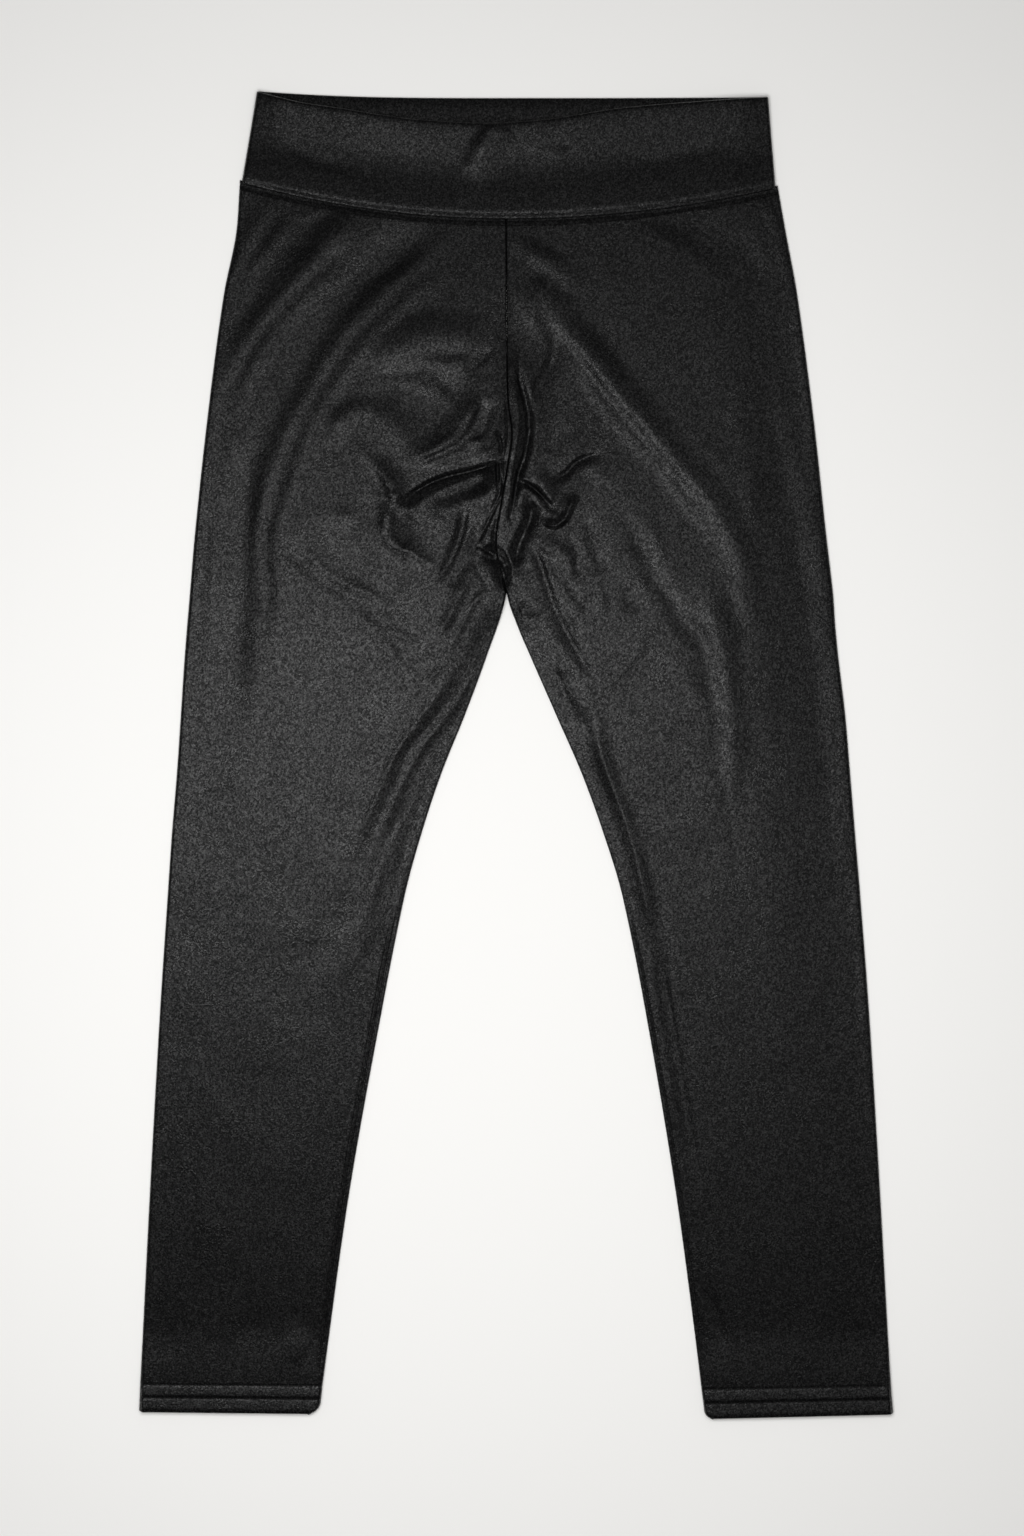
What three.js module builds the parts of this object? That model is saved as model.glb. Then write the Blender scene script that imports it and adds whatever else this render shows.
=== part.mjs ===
import * as THREE from "three";

// Pull-on leggings laid flat, front up, with the waist towards +Y. Sizes are in millimetres.
// X runs across the garment, with the wearer's right leg at -X and the left leg at +X.
// The origin is the middle of the footprint, on the surface that the cloth lies on.
// Three sewn pieces: two legs, each one piece folded round the side, and a doubled waistband.

// Cloth
const legWall = 1.2;
const doubledWall = 2.4;
const layerGap = 0.6;
const seamGap = 0.3;
const leastGap = 0.25;

// Places up the garment, measured from its middle
const crotchY = 117.8;
const hemDepth = 21;
const hemStep = 1.5;
const hemLevel = -487;

// The waist seam and the band's two top edges are arcs, lowest at the centre seam
const centreX = -7;
const waist = {
  seamCentre: 397.3,
  backSeamCentre: 417,
  frontTopCentre: 470.5,
  backTopCentre: 482.5,
};
const waistSides = {
  right: { seam: { x: -204.4, y: 424.3 }, top: { x: -191.8, y: 490.4 } },
  left: { seam: { x: 193.4, y: 420.3 }, top: { x: 186.3, y: 486 } },
};
const bandInset = 1.8;
const seamArc = 2;
const frontTopArc = 2.2;
const backTopArc = 5;

// Outline of each leg: y up the garment, x of the folded side, x of the inseam below the crotch
const legOutlines = {
  right: [
    { y: 422, side: -204.4, inseam: -7.4 },
    { y: 384, side: -207.3, inseam: -7.4 },
    { y: 340, side: -216.2, inseam: -7.4 },
    { y: 251, side: -228.1, inseam: -7.4 },
    { y: 162, side: -237.7, inseam: -7.4 },
    { y: 117.8, side: -241.4, inseam: -7.4 },
    { y: 73, side: -245.1, inseam: -21.6 },
    { y: 29, side: -248, inseam: -37.9 },
    { y: -15, side: -251, inseam: -55.6 },
    { y: -60, side: -254.7, inseam: -70.4 },
    { y: -104, side: -257.7, inseam: -82.3 },
    { y: -193, side: -263.6, inseam: -100 },
    { y: -326, side: -271, inseam: -123.7 },
    { y: -459, side: -277.6, inseam: -142.2 },
    { y: -487, side: -278.8, inseam: -145.4 },
  ],
  left: [
    { y: 420, side: 193.4, inseam: -6.6 },
    { y: 384, side: 199.7, inseam: -6.6 },
    { y: 340, side: 207.8, inseam: -6.6 },
    { y: 251, side: 219.6, inseam: -6.6 },
    { y: 162, side: 229.3, inseam: -6.6 },
    { y: 117.8, side: 234.4, inseam: -6.6 },
    { y: 95.6, side: 235.9, inseam: 0.6 },
    { y: 73, side: 238.1, inseam: 10.2 },
    { y: 29, side: 243.3, inseam: 29.5 },
    { y: -15, side: 247, inseam: 48.7 },
    { y: -60, side: 250.7, inseam: 65 },
    { y: -104, side: 254.4, inseam: 78.3 },
    { y: -193, side: 261.1, inseam: 96.1 },
    { y: -326, side: 269.2, inseam: 118.3 },
    { y: -459, side: 276.6, inseam: 136 },
    { y: -487, side: 278.8, inseam: 139.7 },
  ],
};

// Each hem's bottom edge, from the folded side to the inseam, with its rounded inner corner
const hems = {
  right: { side: -485.4, inseam: -487.6, corner: 4.5 },
  left: { side: -487.4, inseam: -490.4, corner: 4.5 },
};

// The front rise seam wanders where the crotch is pulled into folds
const frontSeam = [
  { y: 400, x: -7.5 },
  { y: 300, x: -6.8 },
  { y: 258, x: -5.6 },
  { y: 236, x: -3 },
  { y: 212, x: -6.2 },
  { y: 184, x: -11 },
  { y: 158, x: -15 },
  { y: 136, x: -11.5 },
  { y: 117.8, x: -7 },
];

// How far the front layer stands off the back layer in the middle of a leg
const lofts = [
  { y: 424, loft: 1.6 },
  { y: 330, loft: 2.4 },
  { y: 200, loft: 3.4 },
  { y: 118, loft: 3 },
  { y: -20, loft: 2.2 },
  { y: -200, loft: 1.6 },
  { y: -380, loft: 0.8 },
  { y: -466, loft: 0.4 },
  { y: -487, loft: 0.4 },
];
const loftReach = 26;
const foldEdgeFade = 20;

// The largest folds of the front. A fold runs along its path with a rise at its crest, negative for
// a trough, and comes down over one width on the left of the path's travel and one on the right.
const folds = [
  { path: [[-127, 386], [-167, 344], [-197, 309], [-221, 250]], left: 12, right: 20, rise: 4 },
  {
    path: [[-69, 361], [-121, 312], [-162, 250], [-186, 181], [-188, 127], [-184, 82]],
    left: 13, right: 24, rise: 5.5,
  },
  { path: [[-51, 351], [-91, 321], [-125, 284], [-153, 238], [-173, 181]], left: 13, right: 11, rise: 3 },
  { path: [[-96, 294], [-66, 309], [-44, 312], [-19, 299]], left: 14, right: 13, rise: 4.5 },
  { path: [[-138, 235], [-110, 252], [-84, 220]], left: 13, right: 13, rise: 3 },
  { path: [[-22, 264], [-42, 240], [-56, 227], [-79, 214]], left: 12, right: 16, rise: 5.5 },
  { path: [[-12, 218], [-56, 203], [-86, 188]], left: 11, right: 11, rise: -3.5 },
  { path: [[-17, 203], [-56, 188], [-84, 175]], left: 12, right: 14, rise: 5 },
  { path: [[-84, 175], [-99, 199], [-108, 216]], left: 12, right: 12, rise: 3.5 },
  { path: [[-120, 223], [-100, 171], [-62, 141]], left: 14, right: 14, rise: -3 },
  { path: [[-19, 171], [-44, 134], [-54, 122]], left: 12, right: 12, rise: 4 },
  { path: [[-17, 119], [-36, 92]], left: 11, right: 11, rise: 2.5 },
  { path: [[-170, 149], [-133, 122], [-101, 90], [-86, 50]], left: 13, right: 15, rise: -2.5 },
  { path: [[-2, 267], [0, 234], [-6, 190], [-11, 166]], left: 11, right: 11, rise: 6 },
  { path: [[12, 270], [16, 232], [9, 204]], left: 11, right: 11, rise: -3.5 },
  { path: [[3, 367], [23, 358], [40, 349]], left: 13, right: 13, rise: 2.5 },
  { path: [[25, 321], [72, 267], [121, 208], [156, 166], [175, 90]], left: 24, right: 13, rise: 5.5 },
  { path: [[32, 304], [64, 250], [104, 203], [158, 131]], left: 11, right: 14, rise: 3 },
  { path: [[27, 300], [16, 262], [22, 226]], left: 12, right: 12, rise: -2.5 },
  { path: [[3, 190], [26, 176], [35, 190], [47, 208]], left: 11, right: 13, rise: 4 },
  { path: [[82, 176], [97, 153], [112, 134]], left: 13, right: 13, rise: 2.5 },
  { path: [[9, 159], [23, 123], [52, 65]], left: 13, right: 14, rise: -3 },
  { path: [[82, 153], [109, 114], [134, 82], [146, 5]], left: 14, right: 16, rise: -2.5 },
  { path: [[146, 119], [163, 45], [164, -14]], left: 14, right: 16, rise: -2.5 },
  { path: [[-27, 85], [-62, 35], [-99, -24], [-123, -78]], left: 12, right: 16, rise: -2.5 },
  { path: [[-30, 62], [-66, 22], [-98, -45]], left: 12, right: 12, rise: 3 },
  { path: [[-232, -24], [-197, -26], [-113, -30]], left: 14, right: 18, rise: -2 },
  { path: [[-212, -108], [-173, -110], [-118, -118]], left: 16, right: 18, rise: -1.6 },
  { path: [[57, 30], [75, -36], [94, -103], [109, -177], [136, -322]], left: 14, right: 14, rise: -2 },
  { path: [[225, 107], [234, -4], [242, -103]], left: 14, right: 16, rise: 2 },
];
const foldPathSteps = 14;
const foldFade = 0.28;

// Relief of the band's front above the waist seam: a rolled lip, then a long slope down
const bandRelief = [
  { up: 0, rise: 0.5 },
  { up: 6, rise: 2.4 },
  { up: 18, rise: 1.5 },
  { up: 38, rise: 0.2 },
  { up: 62, rise: 0.9 },
  { up: 74, rise: 0.1 },
];

// How finely the pieces are divided
const backSegments = 4;
const foldSegments = 4;
const frontSegments = 19;
const bandFrontSegments = 26;
const bandBackSegments = 8;
const bandHeights = [0, 0.08, 0.22, 0.45, 0.72, 1];
const rowSteps = [
  { from: hemLevel + hemDepth + hemStep, to: -120, step: 38 },
  { from: -120, to: crotchY, step: 17 },
  { from: crotchY, step: 11 },
];

// Finishes
const cloth = { color: 0x1d1d1f, roughness: 0.42, metalness: 0 };

function smoothStep(low, high, value) {
  return THREE.MathUtils.smoothstep(value, low, high);
}

// A smooth curve through one column of a table, whose rows run from the waist down
function sample(rows, column, y) {
  const last = rows.length - 1;
  if (y >= rows[0].y) return rows[0][column];
  if (y <= rows[last].y) return rows[last][column];
  const k = rows.findIndex((row) => row.y <= y) - 1;
  const slopeAt = (i) => {
    const before = rows[Math.max(i - 1, 0)];
    const after = rows[Math.min(i + 1, last)];
    return (after[column] - before[column]) / (after.y - before.y);
  };
  const span = rows[k + 1].y - rows[k].y;
  const t = (y - rows[k].y) / span;
  const start = rows[k][column] * (1 + 2 * t) * (1 - t) ** 2;
  const end = rows[k + 1][column] * t * t * (3 - 2 * t);
  const leaving = slopeAt(k) * span * t * (1 - t) ** 2;
  const arriving = slopeAt(k + 1) * span * t * t * (t - 1);
  return start + end + leaving + arriving;
}

// A line across the waist that rises from the centre seam to each side
function waistLine(x, centre, place, power) {
  const end = x < centreX ? waistSides.right[place] : waistSides.left[place];
  const across = Math.min(Math.abs((x - centreX) / (end.x - centreX)), 1);
  return centre + (end.y - centre) * across ** power;
}
const frontSeamLine = (x) => waistLine(x, waist.seamCentre, "seam", seamArc);
const backSeamLine = (x) => waistLine(x, waist.backSeamCentre, "seam", seamArc);
const frontTopLine = (x) => waistLine(x, waist.frontTopCentre, "top", frontTopArc);
const backTopLine = (x) => waistLine(x, waist.backTopCentre, "top", backTopArc);

// Each fold's path becomes a run of short stretches, with the share of its length at each end
const foldRuns = folds.map((fold) => {
  const points = fold.path.map(([x, y]) => new THREE.Vector3(x, y, 0));
  const curve = new THREE.CatmullRomCurve3(points);
  return { ...fold, points: curve.getPoints(foldPathSteps) };
});

function foldHeight(run, x, y) {
  let nearest = Infinity;
  let along = 0;
  let side = 1;
  for (let k = 0; k < foldPathSteps; k += 1) {
    const a = run.points[k];
    const b = run.points[k + 1];
    const dx = b.x - a.x;
    const dy = b.y - a.y;
    const t = THREE.MathUtils.clamp(((x - a.x) * dx + (y - a.y) * dy) / (dx * dx + dy * dy), 0, 1);
    const offX = x - a.x - t * dx;
    const offY = y - a.y - t * dy;
    const distance = Math.hypot(offX, offY);
    if (distance < nearest) {
      nearest = distance;
      along = (k + t) / foldPathSteps;
      side = dx * offY - dy * offX;
    }
  }
  const width = side > 0 ? run.left : run.right;
  if (nearest >= width) return 0;
  const across = Math.cos((nearest / width) * (Math.PI / 2)) ** 2;
  const ends = smoothStep(0, foldFade, along) * smoothStep(0, foldFade, 1 - along);
  return run.rise * across * (0.25 + 0.75 * ends);
}

// Height of the front layer's upper side over the surface
function frontHeight(leg, x, y, wall) {
  const outline = legOutlines[leg.side];
  const fromSide = Math.abs(x - sample(outline, "side", y));
  const fromInseam = Math.abs(x - sample(outline, "inseam", y));
  const sewnAbove = smoothStep(crotchY - 30, crotchY, y);
  const inner = (reach) => THREE.MathUtils.lerp(smoothStep(-0.3 * reach, reach, fromInseam), 1, sewnAbove);
  const loft = sample(lofts, "loft", y) * smoothStep(0, loftReach, fromSide) * inner(loftReach);
  const fadeIn = smoothStep(0, foldEdgeFade, fromSide) * inner(foldEdgeFade);
  const fadeTop = smoothStep(0, foldEdgeFade, frontSeamLine(x) - y);
  const folded = foldRuns.reduce((sum, run) => sum + foldHeight(run, x, y), 0);
  const closed = 2 * wall + layerGap;
  const lowest = 2 * wall + leastGap;
  return Math.max(closed + loft + folded * fadeIn * fadeTop, lowest);
}

// A closed solid from two matching grids of points, the outer and the inner face of a wall. Where a
// row is joined, its last column is sewn to its first, so the wall is a tube between the two rows.
function wallSolid(outer, inner, joined) {
  const rows = outer.length;
  const columns = outer[0].length;
  const positions = [...outer.flat(), ...inner.flat()].flatMap((p) => [p.x, p.y, p.z]);
  const out = (j, i) => j * columns + i;
  const into = (j, i) => rows * columns + j * columns + i;
  const faces = [];
  const quad = (a, b, c, d) => faces.push([a, b, c], [a, c, d]);
  for (let j = 0; j < rows - 1; j += 1) {
    const cells = joined[j] ? columns : columns - 1;
    for (let i = 0; i < cells; i += 1) {
      const next = (i + 1) % columns;
      quad(out(j, i), out(j, next), out(j + 1, next), out(j + 1, i));
      quad(into(j, i), into(j + 1, i), into(j + 1, next), into(j, next));
      if (j === 0) quad(out(0, i), into(0, i), into(0, next), out(0, next));
      if (j === rows - 2) quad(out(j + 1, i), out(j + 1, next), into(j + 1, next), into(j + 1, i));
    }
    const end = columns - 1;
    if (!joined[j]) {
      quad(out(j, 0), out(j + 1, 0), into(j + 1, 0), into(j, 0));
      quad(out(j, end), into(j, end), into(j + 1, end), out(j + 1, end));
    }
    if (j > 0 && joined[j - 1] && !joined[j]) quad(out(j, end), out(j, 0), into(j, 0), into(j, end));
  }
  const volume = faces.reduce((sum, [a, b, c]) => {
    const corners = [a, b, c].map((k) => new THREE.Vector3().fromArray(positions, 3 * k));
    return sum + corners[0].dot(corners[1].cross(corners[2]));
  }, 0);
  const facing = volume > 0 ? faces : faces.map(([a, b, c]) => [a, c, b]);
  const geometry = new THREE.BufferGeometry();
  geometry.setAttribute("position", new THREE.Float32BufferAttribute(positions, 3));
  geometry.setIndex(facing.flat());
  geometry.computeVertexNormals();
  return geometry;
}

// The outer and inner points round a folded side, from the back layer to the front one. Each point
// takes its place up the garment from its own x, on the front's line or the back's.
function sideFold(x, outward, wall, frontY, backY) {
  const radius = wall + layerGap / 2;
  const points = { outer: [], inner: [] };
  for (let k = 1; k < foldSegments; k += 1) {
    const angle = Math.PI * (k / foldSegments - 0.5);
    const place = (r) => {
      const reach = x - outward * radius + outward * r * Math.cos(angle);
      const y = angle < 0 ? backY(reach) : frontY(reach);
      return new THREE.Vector3(reach, y, radius + r * Math.sin(angle));
    };
    points.outer.push(place(radius));
    points.inner.push(place(layerGap / 2));
  }
  return points;
}

// One row across a leg: along the back from the inner edge, round the side, and back along the front
function legRow(leg, level) {
  const outline = legOutlines[leg.side];
  const outward = leg.side === "right" ? -1 : 1;
  const hem = hems[leg.side];
  const waistLevel = waistSides[leg.side].seam.y;
  const isTube = level <= crotchY;
  const inHem = level < hemLevel + hemDepth + hemStep / 2;
  const wall = inHem ? doubledWall : legWall;
  const bendTop = smoothStep(waistLevel - 90, waistLevel, level);
  const bendHem = 1 - smoothStep(hemLevel, hemLevel + 60, level);
  const sideX = sample(outline, "side", level);
  const corner = level <= hemLevel ? hem.corner : 0;
  const place = (x, line) => {
    const across = (x - sideX) / (sample(outline, "inseam", level) - sideX);
    const hemShift = THREE.MathUtils.lerp(hem.side, hem.inseam, across) - hemLevel;
    return level + bendTop * (line(x) - waistLevel) + bendHem * hemShift;
  };
  const half = isTube ? 0 : (outward * seamGap) / 2;
  const inseamX = sample(outline, "inseam", level) + outward * corner;
  const frontX = isTube ? inseamX : sample(frontSeam, "x", place(centreX, frontSeamLine)) + half;
  const backX = isTube ? inseamX : centreX + half;
  const foldX = sideX - outward * (wall + layerGap / 2);
  const frontY = (x) => place(x, frontSeamLine);
  const backY = (x) => place(x, backSeamLine);
  const row = { outer: [], inner: [] };
  for (let k = 0; k <= backSegments; k += 1) {
    const x = THREE.MathUtils.lerp(backX, foldX, k / backSegments);
    const y = backY(x);
    const insideX = k === 0 && isTube ? x + outward * wall : x;
    row.outer.push(new THREE.Vector3(x, y, 0));
    row.inner.push(new THREE.Vector3(insideX, y, wall));
  }
  const side = sideFold(sideX, outward, wall, frontY, backY);
  row.outer.push(...side.outer);
  row.inner.push(...side.inner);
  for (let k = 0; k <= frontSegments; k += 1) {
    const x = THREE.MathUtils.lerp(foldX, frontX, k / frontSegments);
    const y = frontY(x);
    const z = frontHeight(leg, x, y, wall);
    const slopeX = frontHeight(leg, x + 1, y, wall) - z;
    const slopeY = frontHeight(leg, x, y + 1, wall) - z;
    const inward = wall * Math.hypot(slopeX, slopeY, 1);
    const insideX = k === frontSegments && isTube ? x + outward * wall : x;
    row.outer.push(new THREE.Vector3(x, y, z));
    row.inner.push(new THREE.Vector3(insideX, y, Math.max(z - inward, wall + leastGap / 2)));
  }
  return row;
}

function legLevels(leg) {
  const levels = [hemLevel, hemLevel + hemDepth / 2, hemLevel + hemDepth];
  const waistLevel = waistSides[leg.side].seam.y;
  for (const { from, to = waistLevel, step } of rowSteps) {
    const count = Math.round((to - from) / step);
    for (let k = 0; k < count; k += 1) levels.push(from + ((to - from) * k) / count);
  }
  return [...levels, waistLevel];
}

function legGeometry(leg) {
  const levels = legLevels(leg);
  const rows = levels.map((level) => legRow(leg, level));
  const joined = levels.slice(1).map((level) => level <= crotchY);
  return wallSolid(rows.map((row) => row.outer), rows.map((row) => row.inner), joined);
}

// One row round the waistband, at a share of its height: the front from right to left, then the back
function bandRow(share) {
  const { right, left } = waistSides;
  const wall = doubledWall;
  const radius = wall + layerGap / 2;
  const rightX = THREE.MathUtils.lerp(right.seam.x + bandInset, right.top.x, share);
  const leftX = THREE.MathUtils.lerp(left.seam.x - bandInset, left.top.x, share);
  const frontY = (x) => THREE.MathUtils.lerp(frontSeamLine(x) + seamGap, frontTopLine(x), share);
  const backY = (x) => THREE.MathUtils.lerp(backSeamLine(x) + seamGap, backTopLine(x), share);
  const row = { outer: [], inner: [] };
  for (let k = 0; k <= bandFrontSegments; k += 1) {
    const x = THREE.MathUtils.lerp(rightX + radius, leftX - radius, k / bandFrontSegments);
    const y = frontY(x);
    const fade = smoothStep(0, 24, x - rightX) * smoothStep(0, 24, leftX - x);
    const up = y - frontSeamLine(x);
    const after = Math.max(bandRelief.findIndex((entry) => entry.up >= up), 1);
    const [low, high] = [bandRelief[after - 1], bandRelief[after]];
    const rise = THREE.MathUtils.mapLinear(up, low.up, high.up, low.rise, high.rise);
    const z = 2 * wall + layerGap + fade * rise;
    row.outer.push(new THREE.Vector3(x, y, z));
    row.inner.push(new THREE.Vector3(x, y, z - wall));
  }
  const leftFold = sideFold(leftX, 1, wall, frontY, backY);
  row.outer.push(...leftFold.outer.reverse());
  row.inner.push(...leftFold.inner.reverse());
  for (let k = 0; k <= bandBackSegments; k += 1) {
    const x = THREE.MathUtils.lerp(leftX - radius, rightX + radius, k / bandBackSegments);
    const y = backY(x);
    row.outer.push(new THREE.Vector3(x, y, 0));
    row.inner.push(new THREE.Vector3(x, y, wall));
  }
  const rightFold = sideFold(rightX, -1, wall, frontY, backY);
  row.outer.push(...rightFold.outer);
  row.inner.push(...rightFold.inner);
  return row;
}

function bandGeometry() {
  const rows = bandHeights.map(bandRow);
  const joined = bandHeights.slice(1).map(() => true);
  return wallSolid(rows.map((row) => row.outer), rows.map((row) => row.inner), joined);
}

function sewnPiece(name, geometry) {
  const mesh = new THREE.Mesh(geometry, new THREE.MeshStandardMaterial(cloth));
  mesh.name = name;
  return mesh;
}

const leggings = new THREE.Group();
leggings.add(sewnPiece("right_leg", legGeometry({ side: "right" })));
leggings.add(sewnPiece("left_leg", legGeometry({ side: "left" })));
leggings.add(sewnPiece("waistband", bandGeometry()));

export default leggings;
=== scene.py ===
# %% [markdown]
# # Black pull-on leggings, laid flat
#
# A pair of leggings is three pieces of cloth: two legs and a waistband. Each leg is one piece that
# wraps round the side, sewn to itself at the inseam and to the other leg at the front and back.
# Laid down, every leg is a flattened tube, two layers of cloth with folds pressed into the top one.
#
# The CAD model says where everything is, so this lesson starts by loading it as a fixed frame. Its
# solids stay in the physics model, and the cloth made here takes their place to the eye.
# Tables are in millimetres, as a maker would measure them, and meshes are in metres.

# %% Load the frame
import math

import bmesh
import bpy
import numpy as np
from mathutils import Euler, Matrix, Vector


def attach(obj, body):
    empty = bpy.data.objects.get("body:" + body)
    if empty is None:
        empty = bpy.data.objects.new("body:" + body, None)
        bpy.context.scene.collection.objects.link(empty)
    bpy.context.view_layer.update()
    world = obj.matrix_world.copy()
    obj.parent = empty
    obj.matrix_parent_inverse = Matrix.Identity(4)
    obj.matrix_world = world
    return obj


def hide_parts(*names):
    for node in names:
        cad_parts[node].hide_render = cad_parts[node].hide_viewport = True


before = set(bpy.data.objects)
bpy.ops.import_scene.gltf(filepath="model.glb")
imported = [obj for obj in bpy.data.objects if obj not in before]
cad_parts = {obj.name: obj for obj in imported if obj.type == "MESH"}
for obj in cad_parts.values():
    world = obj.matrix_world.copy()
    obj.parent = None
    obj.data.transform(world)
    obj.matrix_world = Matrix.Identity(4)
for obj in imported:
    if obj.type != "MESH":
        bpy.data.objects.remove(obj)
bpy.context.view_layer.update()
mm = 0.001
print("pieces in the frame:", sorted(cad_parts))

# %% [markdown]
# ## The camera
#
# The garment is seen from straight above, as in a catalogue flat lay. A long lens from far away
# keeps the sides of the legs from leaning. The lens fixes the distance: the view is 1136.6 mm tall.

# %% Hang the camera over the cloth
view_centre = (-3.1, -10.2)
view_height = 1136.6
lens = 85
sensor = 36


def link(name, data):
    """A new object in the scene."""
    thing = bpy.data.objects.new(name, data)
    bpy.context.collection.objects.link(thing)
    return thing


camera_data = bpy.data.cameras.new("overhead")
camera_data.lens = lens
camera_data.sensor_fit = "VERTICAL"
camera_data.sensor_height = sensor
camera_data.sensor_width = sensor * 2 / 3
camera_data.clip_end = 20
camera = link("overhead", camera_data)
camera_height = view_height * lens / sensor
camera.location = (view_centre[0] * mm, view_centre[1] * mm, camera_height * mm)
bpy.context.scene.camera = camera
print(f"camera {camera_height:.0f} mm above the floor")

# %% [markdown]
# ## The cut of the garment
#
# The outline of a flattened leg is a short table: the height up the garment, the folded side and
# the inseam. A smooth curve runs through each column. The waist seam and the band's top edges are
# arcs that hang lowest at the centre. The outlines and the seam are the CAD model's own values, so
# that cloth and solid agree. The band's top edges follow the photo a little more closely.

# %% Measures of the cloth
cloth = 1.0
air = 0.6
closed = 2 * cloth + air
crotch_y = 117.8
hem_level = -487
hem_depth = 21
seam_gap = 0.3
centre_x = -7

leg_outlines = {
    "right": [
        (422, -204.4, -7.4), (384, -207.3, -7.4), (340, -216.2, -7.4), (251, -228.1, -7.4),
        (162, -237.7, -7.4), (117.8, -241.4, -7.4), (73, -245.1, -21.6), (29, -248, -37.9),
        (-15, -251, -55.6), (-60, -254.7, -70.4), (-104, -257.7, -82.3), (-193, -263.6, -100),
        (-326, -271, -123.7), (-459, -277.6, -142.2), (-487, -278.8, -145.4),
    ],
    "left": [
        (420, 193.4, -6.6), (384, 199.7, -6.6), (340, 207.8, -6.6), (251, 219.6, -6.6),
        (162, 229.3, -6.6), (117.8, 234.4, -6.6), (95.6, 235.9, 0.6), (73, 238.1, 10.2),
        (29, 243.3, 29.5), (-15, 247, 48.7), (-60, 250.7, 65), (-104, 254.4, 78.3),
        (-193, 261.1, 96.1), (-326, 269.2, 118.3), (-459, 276.6, 136), (-487, 278.8, 139.7),
    ],
}
front_seam = [
    (400, -7.5), (300, -6.8), (258, -5.6), (236, -3), (212, -6.2), (184, -11), (158, -15),
    (136, -11.5), (117.8, -7),
]
waist_sides = {
    "right": {"seam": (-204.4, 424.3), "top": (-191.8, 490.4)},
    "left": {"seam": (193.4, 420.3), "top": (186.3, 486)},
}
waist_lines = {
    "front seam": (397.3, "seam", 2),
    "back seam": (417, "seam", 2),
    "back top": (485.2, "top", 3),
}
front_top = [
    (-192, 489.5), (-160, 481.5), (-130, 477), (-86, 470), (-50, 467), (-19, 466), (10, 467.5),
    (32, 470), (77, 477), (136, 482), (187, 485.5),
]
hem_slants = {"right": (-486, -487.4), "left": (-487.8, -491.1)}
slant_reach = 60
outward = {"right": -1, "left": 1}

# %% Read a table as a smooth curve
def smooth(low, high, value):
    """A soft step from 0 at low to 1 at high."""
    t = np.clip((value - low) / (high - low), 0, 1)
    return t * t * (3 - 2 * t)


def mix(first, second, share):
    return first + (second - first) * share


def curve(rows, column, y):
    """A smooth curve through one column of a table whose first column is the height."""
    heights, values = np.array(sorted((row[0], row[column]) for row in rows), dtype=float).T
    slopes = np.empty_like(values)
    slopes[1:-1] = (values[2:] - values[:-2]) / (heights[2:] - heights[:-2])
    slopes[0] = (values[1] - values[0]) / (heights[1] - heights[0])
    slopes[-1] = (values[-1] - values[-2]) / (heights[-1] - heights[-2])
    y = np.clip(y, heights[0], heights[-1])
    k = np.clip(np.searchsorted(heights, y) - 1, 0, len(heights) - 2)
    span = heights[k + 1] - heights[k]
    t = (y - heights[k]) / span
    ends = values[k] * (1 + 2 * t) * (1 - t) ** 2 + values[k + 1] * t * t * (3 - 2 * t)
    return ends + span * t * (1 - t) * (slopes[k] * (1 - t) - slopes[k + 1] * t)


def outline(side, edge, level):
    """Where the folded side or the inseam of a flat leg lies at a level."""
    return curve(leg_outlines[side], {"side": 1, "inseam": 2}[edge], level)


def hem_shift(side, x, level):
    """How far the slant of the hem moves a point up or down."""
    flat_side, flat_inner = outline(side, "side", level), outline(side, "inseam", level)
    slant = mix(*hem_slants[side], (x - flat_side) / (flat_inner - flat_side)) - hem_level
    return (1 - smooth(hem_level, hem_level + slant_reach, level)) * slant


def waist_line(name, x):
    """The height of a line across the waist, lowest near the centre seam."""
    if name == "front top":
        return curve(front_top, 1, np.asarray(x, dtype=float))
    centre, place, power = waist_lines[name]
    x = np.asarray(x, dtype=float)
    end_x = np.where(x < centre_x, waist_sides["right"][place][0], waist_sides["left"][place][0])
    end_y = np.where(x < centre_x, waist_sides["right"][place][1], waist_sides["left"][place][1])
    across = np.clip((x - centre_x) / (end_x - centre_x), 0, 1)
    return centre + (end_y - centre) * across**power


print("front seam lies at", waist_line("front seam", centre_x), "mm up")
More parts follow.
